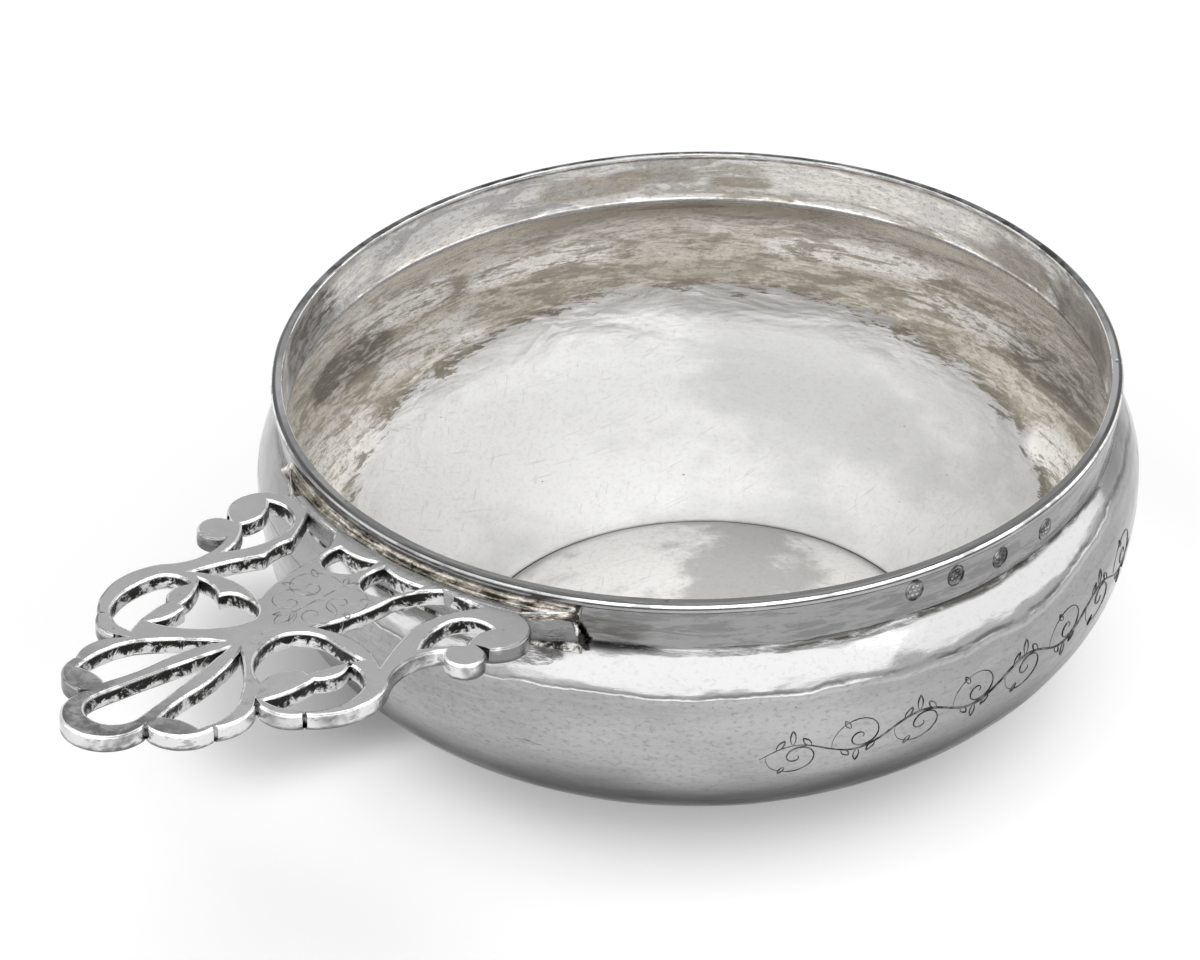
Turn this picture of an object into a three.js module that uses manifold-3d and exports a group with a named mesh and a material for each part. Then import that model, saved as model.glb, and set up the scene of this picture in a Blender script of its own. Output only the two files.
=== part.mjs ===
// A silver porringer: a raised bowl with a pierced cast handle soldered on below its lip.
// Millimetres, +Z up. The bowl stands on Z = 0 and the handle points along -X.
import * as THREE from 'three';
import { mergeVertices } from 'three/addons/utils/BufferGeometryUtils.js';
import Module from 'manifold-3d';

const wasm = await Module();
wasm.setup();

// Bowl: lip and collar
const bowlHeight = 53.5;
const lipRadius = 65;
const lipWidth = 1.8;
const lipDepth = 1.6;
const lipEdgeRound = 0.25;
const lipOverhang = 0.25;
const collarHeight = 8.45;
const neckInset = 1;
const neckWall = 1.2;

// Bowl: belly, foot and floor
const wall = 0.7;
const bellySwell = 2.85;
const bellyBelowNeck = 8.55;
const shoulderAngle = 41.8;
const shoulderLead = 1.9;
const shoulderDrop = 3.7;
const bellyDrop = 20;
const footRadius = 37.5;
const footWidth = 1.8;
const footAngle = 28.5;
const footLead = 22.7;
const domeRise = 3.4;
const domeStep = 0.8;
const domeStepWidth = 0.8;

// Handle: a flat casting that rises a little towards its tip
const handleDrop = 2.5;
const handleTilt = 3.1;
const handleLength = 65.2;
const handleWidth = 52;
const plateThickness = 2.7;
const plateEdgeRound = 0.35;

// Handle: the moulded flange that hugs the collar, measured from the lip and the neck
const flangeReach = 3.05;
const flangeTopDrop = 3.2;
const flangeCoveReach = 2.2;
const flangeFootReach = 1.55;
const flangeFootDrop = 0.55;
const flangeTaperAngle = 7.5;
const flangeEndThickness = 0.5;

// Solder: a bead all round the flange
const jointGap = 0.3;
const beadWidth = 1.3;
const beadTop = 1.15;
const beadFootDrop = 1.9;
const beadFootAngle = 61.8;

// Fineness of the round forms
const turnSteps = 96;
const shoulderSteps = 5;
const sideSteps = 10;
const domeSteps = 4;
const arcStepAngle = 13;
const rootSteps = 8;

// Half of the handle's outline, from the flange to the tip. Each corner is [reach, across, bulge] in
// percent: reach from the flange to the tip, distance from the middle line as a share of half the
// width, and how far the arc to the next corner swells out as a share of the reach. A negative bulge
// hollows the edge.
const halfOutline = [
  [0, 89.6, 6.92],
  [17.4, 100, 7.08],
  [22.4, 86.2, -2.98],
  [39.2, 88.1, 4.67],
  [62, 78.5, 2.41],
  [64.9, 51.2, 2.25],
  [76.9, 51.9, 4.02],
  [87.2, 25, 12.87],
];

// The middle piercing, a drop, and the piercings that come in mirrored pairs
const middleDrop = [[51.4, 0, 0.4], [86, 16, 7.64], [86, -16, 0.4]];
const pairedPiercings = {
  petal: [[50.1, 7.3, 0.97], [65.8, 43.1, 1.61], [80.2, 45.8, -0.88], [81.7, 22.3, 0.56], [66.9, 18.5, -0.8]],
  innerCrescent: [
    [35.9, 61.9, -0.56], [46.9, 51.9, -0.8], [48, 43.5, -0.97],
    [56.7, 43.8, 2.57], [42.3, 11.7, 3.38], [34.1, 33.1, -0.24],
  ],
  outerCrescent: [[39, 62.3, 1.45], [44.1, 81.2, 1.61], [57.5, 79.2, 1.93], [62.4, 51.5, -0.88], [48.4, 55.8, -2.09]],
  stemGap: [
    [31.4, 21.5, -1.21], [10.3, 31.5, 1.13], [-1, 44.2, 0.16],
    [-1, 71.9, -0.24], [8.6, 59.2, -0.4], [16.6, 57.3, -0.4], [35.5, 72.3, -3.06],
  ],
  rootArch: [[1.8, 28.1, 0.48], [7.2, 26.2, 4.02], [6.7, 3.5, 0.32], [1.2, 3.5, -0.97]],
  sideHeart: [[7.5, 93.1, -1.13], [16.6, 90.4, -0.48], [24.6, 75, 0.8], [11.5, 66.9, 3.22]],
};

const silver = new THREE.MeshStandardMaterial({ color: 0xc4c3bf, roughness: 0.22, metalness: 1 });
const castSilver = new THREE.MeshStandardMaterial({ color: 0xb2b1ad, roughness: 0.36, metalness: 1 });
const solderSilver = new THREE.MeshStandardMaterial({ color: 0x8f8c84, roughness: 0.6, metalness: 1 });

const toRadians = THREE.MathUtils.degToRad;
const toDegrees = THREE.MathUtils.radToDeg;

// Sizes that follow from the ones above
const neckRadius = lipRadius - neckInset;
const neckHeight = bowlHeight - collarHeight;
const lipUnderside = bowlHeight - lipDepth;
const collarTopRadius = lipRadius - lipOverhang;
const bellyRadius = lipRadius + bellySwell;
const bellyHeight = neckHeight - bellyBelowNeck;
const tipReach = lipRadius + handleLength;
const flangeRadius = lipRadius + flangeReach;
const flangeCoveRadius = neckRadius + flangeCoveReach;
const flangeFootRadius = neckRadius + flangeFootReach;
const flangeFootHeight = neckHeight - flangeFootDrop;
const flangeTop = bowlHeight - flangeTopDrop;
const rootHalfWidth = handleWidth / 2 * halfOutline[0][1] / 100;
const flangePlateAngle = toDegrees(Math.asin(rootHalfWidth / flangeRadius));
const flangeEndAngle = flangePlateAngle + flangeTaperAngle;

// A point at a radius and height, moved along a direction measured up from the horizontal
function moved([radius, height], distance, angle) {
  return [radius + distance * Math.cos(toRadians(angle)), height + distance * Math.sin(toRadians(angle))];
}

function bezierPoints(start, startPull, endPull, end, steps) {
  const corners = [start, startPull, endPull, end].map(([radius, height]) => new THREE.Vector2(radius, height));
  return new THREE.CubicBezierCurve(...corners).getPoints(steps);
}

// Points of the circular arc between two corners, without the last one
function arcPoints([fromX, fromY, bulge], [toX, toY]) {
  const from = new THREE.Vector2(fromX, fromY);
  const chord = new THREE.Vector2(toX - fromX, toY - fromY);
  const halfChord = chord.length() / 2;
  const sweep = 4 * Math.atan(Math.abs(bulge) / halfChord);
  const steps = Math.max(2, Math.ceil(toDegrees(sweep) / arcStepAngle));
  const radius = (halfChord ** 2 + bulge ** 2) / (2 * Math.abs(bulge));
  const outward = new THREE.Vector2(-chord.y, chord.x).normalize().multiplyScalar(Math.sign(bulge));
  const along = chord.clone().normalize();
  const centre = from.clone().addScaledVector(chord, 0.5).addScaledVector(outward, Math.abs(bulge) - radius);
  const points = [];
  for (let step = 0; step < steps; step += 1) {
    const angle = sweep * (step / steps - 0.5);
    const point = centre.clone();
    point.addScaledVector(outward, radius * Math.cos(angle));
    point.addScaledVector(along, radius * Math.sin(angle));
    points.push(point);
  }
  return points;
}

// A corner's percentages as millimetres, with its reach measured from the curved face of the flange
function placed([reach, across, bulge]) {
  const sideways = handleWidth / 2 * across / 100;
  const face = Math.sqrt(flangeRadius ** 2 - sideways ** 2);
  return [face + (tipReach - face) * reach / 100, sideways, (tipReach - flangeRadius) * bulge / 100];
}

function arcLoop(corners) {
  const loop = corners.map(placed);
  return loop.flatMap((corner, index) => arcPoints(corner, loop[(index + 1) % loop.length]));
}

function mirrored(corners) {
  const last = corners.length - 1;
  return corners.map((corner, index) => {
    const [reach, across] = corners[last - index];
    const bulge = corners[(2 * last - index) % (last + 1)][2];
    return [reach, -across, bulge];
  });
}

function toSolid(geometry) {
  const bare = geometry.clone();
  bare.deleteAttribute('normal');
  bare.deleteAttribute('uv');
  const merged = mergeVertices(bare, 1e-4);
  const vertProperties = Float32Array.from(merged.attributes.position.array);
  const triVerts = Uint32Array.from(merged.index.array);
  return new wasm.Manifold(new wasm.Mesh({ numProp: 3, vertProperties, triVerts }));
}

function toGeometry(solid) {
  const mesh = solid.getMesh();
  const geometry = new THREE.BufferGeometry();
  geometry.setAttribute('position', new THREE.BufferAttribute(mesh.vertProperties, 3));
  geometry.setIndex(new THREE.BufferAttribute(mesh.triVerts, 1));
  geometry.computeVertexNormals();
  return geometry;
}

// A closed outline of [radius, height] points turned about the Z axis
function turned(outline) {
  const geometry = new THREE.LatheGeometry(outline, turnSteps);
  geometry.rotateX(Math.PI / 2);
  return geometry;
}

function turnedRing(section) {
  const points = section.map(([radius, height]) => new THREE.Vector2(radius, height));
  return toSolid(turned([...points, points[0]]));
}

// An upright block with a given plan, taller than the whole bowl
function uprightBlock(plan) {
  const geometry = new THREE.ExtrudeGeometry(new THREE.Shape(plan), { depth: bowlHeight, bevelEnabled: false });
  return toSolid(geometry);
}

function polar(radius, angle) {
  return new THREE.Vector2(radius * Math.cos(toRadians(angle)), radius * Math.sin(toRadians(angle)));
}

// The shoulder and side between the neck and the foot
function shoulderAndSide(neck, belly, foot) {
  const shoulderPull = moved(neck, shoulderLead, -shoulderAngle);
  const shoulder = bezierPoints(neck, shoulderPull, moved(belly, shoulderDrop, 90), belly, shoulderSteps);
  const side = bezierPoints(belly, moved(belly, bellyDrop, -90), moved(foot, footLead, footAngle), foot, sideSteps);
  return [...shoulder, ...side.slice(1)];
}

// The domed floor between its edge inside the foot and its middle
function dome(edge, height) {
  const third = edge[0] / 3;
  return bezierPoints(edge, moved(edge, third, 180 - footAngle / 2), [third, height], [0, height], domeSteps);
}

// The bowl's outside from the lip down to the foot
function bowlOutside() {
  return [
    new THREE.Vector2(lipRadius - lipEdgeRound, bowlHeight),
    new THREE.Vector2(lipRadius, bowlHeight - lipEdgeRound),
    new THREE.Vector2(lipRadius, lipUnderside + lipOverhang),
    new THREE.Vector2(collarTopRadius, lipUnderside),
    ...shoulderAndSide([neckRadius, neckHeight], [bellyRadius, bellyHeight], [footRadius, 0]),
  ];
}

// The underside of the floor, from the foot to the middle
function bowlUnderside() {
  const footInside = footRadius - footWidth;
  return [new THREE.Vector2(footInside, 0), ...dome([footInside - domeStepWidth, domeStep], domeRise)];
}

// The bowl's inside from the lip down to the middle of the floor
function bowlInside() {
  const neck = [neckRadius - neckWall, neckHeight];
  const foot = moved([footRadius, 0], wall, 90 + footAngle);
  return [
    new THREE.Vector2(lipRadius - lipWidth + lipEdgeRound, bowlHeight),
    new THREE.Vector2(lipRadius - lipWidth, bowlHeight - lipEdgeRound),
    ...shoulderAndSide(neck, [bellyRadius - wall, bellyHeight], foot),
    ...dome([footRadius - footWidth - domeStepWidth, domeStep + wall], domeRise + wall),
  ];
}

function makeBowl() {
  const section = [...bowlUnderside().reverse(), ...bowlOutside().reverse(), ...bowlInside()];
  const bowl = new THREE.Mesh(turned(section), silver);
  bowl.name = 'bowl';
  return bowl;
}

// The space that the bowl and the gap round its outside take up, which the joined parts keep clear of
function bowlClearance() {
  const outside = bowlOutside();
  const grown = outside.map((point, index) => {
    const before = outside[Math.max(index - 1, 0)];
    const after = outside[Math.min(index + 1, outside.length - 1)];
    const inward = point.clone().sub(before).normalize();
    const onward = after.clone().sub(point).normalize();
    const along = inward.clone().add(onward).normalize();
    const mitre = jointGap / Math.max(along.dot(onward), along.dot(inward));
    return new THREE.Vector2(point.x - along.y * mitre, point.y + along.x * mitre);
  });
  const section = [new THREE.Vector2(0, 0), ...grown.reverse(), new THREE.Vector2(0, bowlHeight + jointGap)];
  return toSolid(turned(section));
}

// The flange's section, swollen by a clearance. It runs into the bowl's wall and is cut back later.
function flangeSection(clearance) {
  const plateTop = bowlHeight - handleDrop + flangeReach * Math.tan(toRadians(handleTilt));
  return [
    [neckRadius - lipWidth, flangeFootHeight - clearance],
    [flangeFootRadius + clearance, flangeFootHeight - clearance],
    [flangeRadius + clearance, plateTop - plateThickness],
    [flangeRadius + clearance, plateTop + clearance],
    [flangeCoveRadius, flangeTop + clearance],
    [neckRadius - lipWidth, flangeTop + clearance],
  ];
}

// The flange seen from above: full width across the plate, drawn in to thin ends beyond it
function flangePlan(clearance) {
  const endAngle = flangeEndAngle + toDegrees(clearance / lipRadius);
  const half = [
    polar(neckRadius - lipWidth, endAngle),
    polar(lipRadius + flangeEndThickness + clearance, endAngle),
    polar(flangeRadius + clearance, flangePlateAngle),
  ];
  const otherHalf = half.map((point) => new THREE.Vector2(point.x, -point.y));
  const beyondPlate = new THREE.Vector2((flangeRadius + clearance) / Math.cos(toRadians(flangePlateAngle)), 0);
  return [...otherHalf, beyondPlate, ...half.reverse()];
}

function flange(clearance) {
  return turnedRing(flangeSection(clearance)).intersect(uprightBlock(flangePlan(clearance)));
}

// The plate's outline closes inside the flange, on an arc about the bowl's axis
function plateOutline() {
  const sides = [...halfOutline, ...mirrored(halfOutline)].map(placed);
  const edge = sides.slice(0, -1).flatMap((corner, index) => arcPoints(corner, sides[index + 1]));
  const lastCorner = sides[sides.length - 1];
  edge.push(new THREE.Vector2(lastCorner[0], lastCorner[1]));
  for (let step = 0; step <= rootSteps; step += 1) {
    edge.push(polar(flangeCoveRadius, flangePlateAngle * (2 * step / rootSteps - 1)));
  }
  return edge;
}

function piercedPlate() {
  const shape = new THREE.Shape(plateOutline().reverse());
  shape.holes.push(new THREE.Path(arcLoop(middleDrop)));
  for (const corners of Object.values(pairedPiercings)) {
    shape.holes.push(new THREE.Path(arcLoop(corners)));
    shape.holes.push(new THREE.Path(arcLoop(mirrored(corners))));
  }
  const geometry = new THREE.ExtrudeGeometry(shape, {
    depth: plateThickness - 2 * plateEdgeRound,
    bevelThickness: plateEdgeRound,
    bevelSize: plateEdgeRound,
    bevelOffset: -plateEdgeRound,
    bevelSegments: 1,
  });
  geometry.translate(-lipRadius, 0, plateEdgeRound - plateThickness);
  geometry.rotateY(-toRadians(handleTilt));
  geometry.translate(lipRadius, 0, bowlHeight - handleDrop);
  return toSolid(geometry);
}

function makeHandle() {
  const casting = piercedPlate().add(flange(0)).subtract(bowlClearance());
  const handle = new THREE.Mesh(toGeometry(casting), castSilver);
  handle.name = 'handle';
  return handle;
}

// A band of solder on the collar and shoulder, cut back to a bead by the flange and the bowl
function makeSolder() {
  const foot = moved([flangeFootRadius, flangeFootHeight], beadFootDrop, -beadFootAngle);
  const section = [
    [neckRadius - lipWidth, foot[1]],
    foot,
    [foot[0] + jointGap, foot[1] + beadWidth],
    [flangeFootRadius + beadWidth, flangeFootHeight + beadWidth],
    [flangeFootRadius, flangeFootHeight + 2 * beadWidth],
    [flangeCoveRadius, flangeTop],
    [collarTopRadius + jointGap, flangeTop + beadTop],
    [neckRadius - lipWidth, flangeTop + beadTop],
  ];
  const endAngle = flangeEndAngle + toDegrees((jointGap + beadWidth) / lipRadius);
  const sector = [
    polar(neckRadius - lipWidth, -endAngle),
    polar(flangeRadius + beadWidth, -endAngle),
    new THREE.Vector2(flangeRadius / Math.cos(toRadians(endAngle)), 0),
    polar(flangeRadius + beadWidth, endAngle),
    polar(neckRadius - lipWidth, endAngle),
  ];
  const band = turnedRing(section).intersect(uprightBlock(sector));
  const bead = band.subtract(flange(jointGap)).subtract(bowlClearance());
  const solder = new THREE.Mesh(toGeometry(bead), solderSilver);
  solder.name = 'solder_seam';
  return solder;
}

const handleSide = new THREE.Group();
handleSide.add(makeHandle(), makeSolder());
handleSide.rotation.z = Math.PI;

// The origin lies under the middle of the whole object, on the surface that it stands on
const porringer = new THREE.Group();
porringer.add(makeBowl(), handleSide);
const extent = new THREE.Box3().setFromObject(porringer);
porringer.position.x = -(extent.min.x + extent.max.x) / 2;

export default porringer;
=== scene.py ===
import bpy
from math import atan, atan2, ceil, cos, degrees, hypot, pi, radians, sin
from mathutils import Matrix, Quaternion, Vector, noise
from mathutils.kdtree import KDTree
from mathutils.geometry import interpolate_bezier


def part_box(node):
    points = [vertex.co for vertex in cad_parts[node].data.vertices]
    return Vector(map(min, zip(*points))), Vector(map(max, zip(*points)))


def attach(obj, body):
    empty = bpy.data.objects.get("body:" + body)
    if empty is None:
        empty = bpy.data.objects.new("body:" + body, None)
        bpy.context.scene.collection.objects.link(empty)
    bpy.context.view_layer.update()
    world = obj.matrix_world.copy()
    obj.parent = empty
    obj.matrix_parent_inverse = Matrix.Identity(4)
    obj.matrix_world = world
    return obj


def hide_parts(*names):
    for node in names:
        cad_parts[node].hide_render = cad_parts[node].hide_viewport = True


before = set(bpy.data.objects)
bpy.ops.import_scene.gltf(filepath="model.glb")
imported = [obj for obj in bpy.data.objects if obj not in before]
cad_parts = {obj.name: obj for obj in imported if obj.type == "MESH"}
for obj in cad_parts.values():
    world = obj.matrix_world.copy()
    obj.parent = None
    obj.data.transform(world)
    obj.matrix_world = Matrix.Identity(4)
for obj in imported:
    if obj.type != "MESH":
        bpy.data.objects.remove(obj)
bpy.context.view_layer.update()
mm = 0.001

# the bowl's own middle line stands here in the frame
bowlLow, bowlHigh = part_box("bowl")
axisX = (bowlLow[0] + bowlHigh[0]) / 2


# small helpers for working as by hand

def putDown():
    if bpy.context.mode != "OBJECT":
        bpy.ops.object.mode_set(mode="OBJECT")
    bpy.ops.object.select_all(action="DESELECT")


def takeUp(obj):
    putDown()
    obj.select_set(True)
    bpy.context.view_layer.objects.active = obj


def applyModifiers(obj):
    takeUp(obj)
    for modifier in list(obj.modifiers):
        bpy.ops.object.modifier_apply(modifier=modifier.name)


def settle(obj):
    takeUp(obj)
    bpy.ops.object.transform_apply(location=True, rotation=True, scale=True)


def joinPieces(pieces):
    putDown()
    for piece in pieces:
        piece.select_set(True)
    bpy.context.view_layer.objects.active = pieces[0]
    bpy.ops.object.join()
    return bpy.context.object


def smoothByAngle(obj, angle):
    takeUp(obj)
    bpy.ops.object.shade_smooth_by_angle(angle=radians(angle))


def cleanUp(obj, distance):
    takeUp(obj)
    bpy.ops.object.mode_set(mode="EDIT")
    bpy.ops.mesh.select_all(action="SELECT")
    bpy.ops.mesh.remove_doubles(threshold=distance)
    bpy.ops.mesh.normals_make_consistent(inside=False)
    bpy.ops.object.mode_set(mode="OBJECT")


# a curve of straight strokes, lines being lists of points in metres
def drawLines(name, lines, closed, flat=False):
    putDown()
    bpy.ops.curve.primitive_bezier_curve_add()
    obj = bpy.context.object
    obj.name = name
    curve = obj.data
    curve.dimensions = "2D" if flat else "3D"
    curve.splines.clear()
    for points in lines:
        spline = curve.splines.new("POLY")
        spline.points.add(len(points) - 1)
        for point, place in zip(spline.points, points):
            point.co = (*place, 1)
        spline.use_cyclic_u = closed
    return obj


def makeMesh(obj):
    takeUp(obj)
    bpy.ops.object.convert(target="MESH")
    return bpy.context.object


# points of a Bezier stroke in the upright plane, without the last one
def bend(start, pullStart, pullEnd, end, steps):
    corners = [Vector((radius, 0, height)) for radius, height in (start, pullStart, pullEnd, end)]
    return [(point.x, point.z) for point in interpolate_bezier(*corners, steps + 1)][:-1]


def straight(start, end, steps):
    (outA, upA), (outB, upB) = start, end
    return [(outA + (outB - outA) * k / steps, upA + (upB - upA) * k / steps) for k in range(steps)]


def along(place, distance, angle):
    return (place[0] + distance * cos(radians(angle)), place[1] + distance * sin(radians(angle)))


# materials are built with these
def newMaterial(name):
    material = bpy.data.materials.new(name)
    material.use_nodes = True
    tree = material.node_tree
    tree.nodes.clear()
    output = tree.nodes.new("ShaderNodeOutputMaterial")
    shader = tree.nodes.new("ShaderNodeBsdfPrincipled")
    tree.links.new(shader.outputs[0], output.inputs[0])
    return material, tree, shader


def plug(tree, socket, value):
    if isinstance(value, bpy.types.NodeSocket):
        tree.links.new(value, socket)
    else:
        socket.default_value = value


def node(tree, kind, inputs=None, **settings):
    new = tree.nodes.new("ShaderNode" + kind)
    for name, value in settings.items():
        setattr(new, name, value)
    for key, value in (inputs or {}).items():
        plug(tree, new.inputs[key], value)
    return new


def math(tree, operation, first, second=0.0):
    return node(tree, "Math", {0: first, 1: second}, operation=operation).outputs[0]


def times(tree, first, second):
    return math(tree, "MULTIPLY", first, second)


def plus(tree, first, second):
    return math(tree, "ADD", first, second)


def minus(tree, first, second):
    return math(tree, "SUBTRACT", first, second)


def fade(tree, value, low, high, toLow=0.0, toHigh=1.0):
    ends = {0: value, 1: low, 2: high, 3: toLow, 4: toHigh}
    return node(tree, "MapRange", ends, interpolation_type="SMOOTHSTEP").outputs[0]


# full at a middle value, and gone at a distance to both sides of it
def near(tree, value, middle, full, gone, most=1.0):
    apart = math(tree, "ABSOLUTE", minus(tree, value, middle))
    return fade(tree, apart, full, gone, most, 0.0)


# a cloud brought down to swing about nought
def swing(tree, cloudy, reach):
    return times(tree, minus(tree, cloudy, 0.5), reach)


def mixTwo(tree, first, second, share):
    return plus(tree, times(tree, first, share), times(tree, second, 1 - share))


def blendColours(tree, share, first, second):
    new = tree.nodes.new("ShaderNodeMix")
    new.data_type = "RGBA"
    plug(tree, new.inputs[0], share)
    plug(tree, new.inputs[6], first)
    plug(tree, new.inputs[7], second)
    return new.outputs[2]


def grey(value, warm=0.0):
    return (value * (1 + warm), value, value * (1 - 1.6 * warm), 1)


# a colour brought nearer to a grey
def tinted(tree, colour, share, value, warm=0.0):
    return blendColours(tree, share, colour, grey(value, warm))


def finishMetal(tree, shader, colour, rough, metal=1.0):
    plug(tree, shader.inputs["Base Color"], colour)
    plug(tree, shader.inputs["Metallic"], metal)
    plug(tree, shader.inputs["Roughness"], rough)


# object coordinates from the bowl's middle, stretched
def objectPlace(tree, scale=(1, 1, 1)):
    coordinates = tree.nodes.new("ShaderNodeTexCoord").outputs["Object"]
    centre = node(tree, "VectorMath", {0: coordinates, 1: (-axisX, 0, 0)}, operation="ADD").outputs[0]
    return node(tree, "VectorMath", {0: centre, 1: scale}, operation="MULTIPLY").outputs[0]


def cloud(tree, place, scale, detail=3.0, rough=0.55, twist=0.0):
    look = {"Vector": place, "Scale": scale, "Detail": detail, "Roughness": rough, "Distortion": twist}
    return node(tree, "TexNoise", look).outputs[0]


def pits(tree, place, scale, size):
    cells = node(tree, "TexVoronoi", {"Vector": place, "Scale": scale})
    return fade(tree, cells.outputs["Distance"], 0.0, size, 1.0, 0.0)


# distance from the middle line and height, both in millimetres, and the level direction outwards
def roundPlace(tree):
    place = objectPlace(tree)
    parts = node(tree, "SeparateXYZ", {0: place})
    flat = node(tree, "CombineXYZ", {0: parts.outputs[0], 1: parts.outputs[1]})
    out = node(tree, "VectorMath", {0: flat.outputs[0]}, operation="LENGTH").outputs["Value"]
    way = node(tree, "VectorMath", {0: flat.outputs[0]}, operation="NORMALIZE").outputs[0]
    return times(tree, out, 1000), times(tree, parts.outputs[2], 1000), way


def towards(tree, way, bearing):
    heading = (cos(radians(bearing)), sin(radians(bearing)), 0)
    return node(tree, "VectorMath", {0: way, 1: heading}, operation="DOT_PRODUCT").outputs["Value"]


# how much of a patch lies at a place on the wall
def patchShare(tree, way, up, bearing, height, wide, tall):
    around = fade(tree, towards(tree, way, bearing), cos(radians(wide)), cos(radians(wide * 0.3)))
    return times(tree, around, near(tree, up, height, tall * 0.2, tall))


# fine straight scratches that lie one way
def scratches(tree, turn, scale, share):
    placed = {0: objectPlace(tree), "Angle": radians(turn)}
    turned = node(tree, "VectorRotate", placed, rotation_type="Z_AXIS").outputs[0]
    drawn = node(tree, "VectorMath", {0: turned, 1: (1, 22, 4)}, operation="MULTIPLY").outputs[0]
    return fade(tree, cloud(tree, drawn, scale, 2, 0.6), share, share + 0.06)


# bumps piled up, each a height socket with its depth in metres
def ridges(tree, heights, shader):
    normal = None
    for height, depth in heights:
        bump = node(tree, "Bump", {"Height": height, "Strength": 1.0, "Distance": depth})
        if normal is not None:
            tree.links.new(normal, bump.inputs["Normal"])
        normal = bump.outputs[0]
    tree.links.new(normal, shader.inputs["Normal"])


# camera, fitted to the photograph's rim, outlines and handle
camera = dict(
    lens=195,              # on a sensor 36 mm wide
    away=838.93 * mm,      # from the bowl's middle line
    height=582.15 * mm,
    bearing=47.26,         # degrees round to the left of straight in front
    dip=33.215,
    turn=1.032,
    roll=-1.288,
)


def makeCamera():
    data = bpy.data.cameras.new("photoCamera")
    data.lens = camera["lens"]
    data.sensor_width = 36
    data.clip_start = 0.01
    data.clip_end = 20
    obj = bpy.data.objects.new("photoCamera", data)
    bpy.context.scene.collection.objects.link(obj)
    bearing = radians(camera["bearing"])
    obj.location = (axisX - camera["away"] * sin(bearing), -camera["away"] * cos(bearing), camera["height"])
    heading = Quaternion((0, 0, 1), radians(camera["turn"]) - bearing)
    dip = Quaternion((1, 0, 0), radians(90 - camera["dip"]))
    roll = Quaternion((0, 0, 1), radians(camera["roll"]))
    obj.rotation_mode = "QUATERNION"
    obj.rotation_quaternion = heading @ dip @ roll
    bpy.context.scene.camera = obj
    print("camera set")


makeCamera()


# studio: a white floor that keeps the shadow, a white surround and large soft lamps
studio = dict(
    floorSize=3.0,
    floorColour=0.8,
    # lift of the paper to white under the bowl, round it and further out, and its share by the handle; kept
    # low near the bowl and taken away by the handle, it leaves a painted shadow there
    floorGlow=dict(near=0.22, beside=0.46, far=0.27, byHandle=0.0),
    besideRing=(44, 60),   # distances out, in millimetres, over which one turns into the next
    farRing=(62, 92),
    handleRing=(70, 94),
    handleShade=136,       # bearing of the handle's shadow
    roomLight=0.1,         # what the surround gives to matt surfaces
    lamps=[
        # bearing round from the camera, rise in degrees, distance, width, height, strength
        ("frontLamp", 0, 24, 1.8, 3.8, 1.6, 1.6),
        ("topLamp", 0, 100, 1.6, 1.7, 1.7, 1.8),
        ("leftLamp", 76, 24, 1.8, 2.0, 1.6, 1.3),
        ("rightLamp", -86, 24, 1.8, 2.6, 1.6, 1.3),
    ],
)


def rayIsSeen(tree):
    path = tree.nodes.new("ShaderNodeLightPath")
    seen = math(tree, "MAXIMUM", path.outputs["Is Camera Ray"], path.outputs["Is Glossy Ray"])
    return math(tree, "MAXIMUM", seen, path.outputs["Is Transmission Ray"])


def makeStudio():
    putDown()
    bpy.ops.mesh.primitive_plane_add(size=studio["floorSize"], location=(0, 0, 0))
    floor = bpy.context.object
    floor.name = "studioFloor"
    material, tree, shader = newMaterial("floorPaper")
    shader.inputs["Base Color"].default_value = grey(studio["floorColour"])
    shader.inputs["Roughness"].default_value = 1.0
    shader.inputs["Specular IOR Level"].default_value = 0.0
    shader.inputs["Emission Color"].default_value = (1, 1, 1, 1)
    out, up, way = roundPlace(tree)
    glow = studio["floorGlow"]
    # the lift is held low round the bowl and taken away towards the handle's shadow: a painted shadow on the
    # paper
    beside = fade(tree, out, *studio["besideRing"], glow["near"], glow["beside"])
    lift = minus(tree, beside, fade(tree, out, *studio["farRing"], 0.0, glow["beside"] - glow["far"]))
    shaded = fade(tree, towards(tree, way, studio["handleShade"]), 0.86, 0.985)
    shaded = times(tree, shaded, fade(tree, out, *studio["handleRing"], 1.0, 0.0))
    lift = times(tree, lift, fade(tree, shaded, 0.0, 1.0, 1.0, glow["byHandle"]))
    tree.links.new(times(tree, rayIsSeen(tree), lift), shader.inputs["Emission Strength"])
    floor.data.materials.append(material)

    world = bpy.data.worlds.new("studioRoom")
    bpy.context.scene.world = world
    world.use_nodes = True
    tree = world.node_tree
    tree.nodes.clear()
    strength = fade(tree, rayIsSeen(tree), 0.0, 1.0, studio["roomLight"], 1.0)
    background = node(tree, "Background", {"Color": (1, 1, 1, 1), "Strength": strength})
    output = tree.nodes.new("ShaderNodeOutputWorld")
    tree.links.new(background.outputs[0], output.inputs[0])

    target = Vector((axisX, 0, 0.03))
    for name, bearing, rise, distance, width, height, strength in studio["lamps"]:
        around = radians(bearing + camera["bearing"])
        flatDistance = distance * cos(radians(rise))
        up = distance * sin(radians(rise))
        place = target + Vector((-flatDistance * sin(around), -flatDistance * cos(around), up))
        data = bpy.data.lights.new(name, "AREA")
        data.shape = "RECTANGLE"
        data.size = width
        data.size_y = height
        data.energy = strength * pi * width * height   # a lamp of radiance strength
        lamp = bpy.data.objects.new(name, data)
        bpy.context.scene.collection.objects.link(lamp)
        lamp.location = place
        lamp.rotation_mode = "QUATERNION"
        lamp.rotation_quaternion = (target - place).to_track_quat("-Z", "Y")

    bpy.context.scene.view_settings.view_transform = "Standard"
    print("studio set")


makeStudio()


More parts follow.
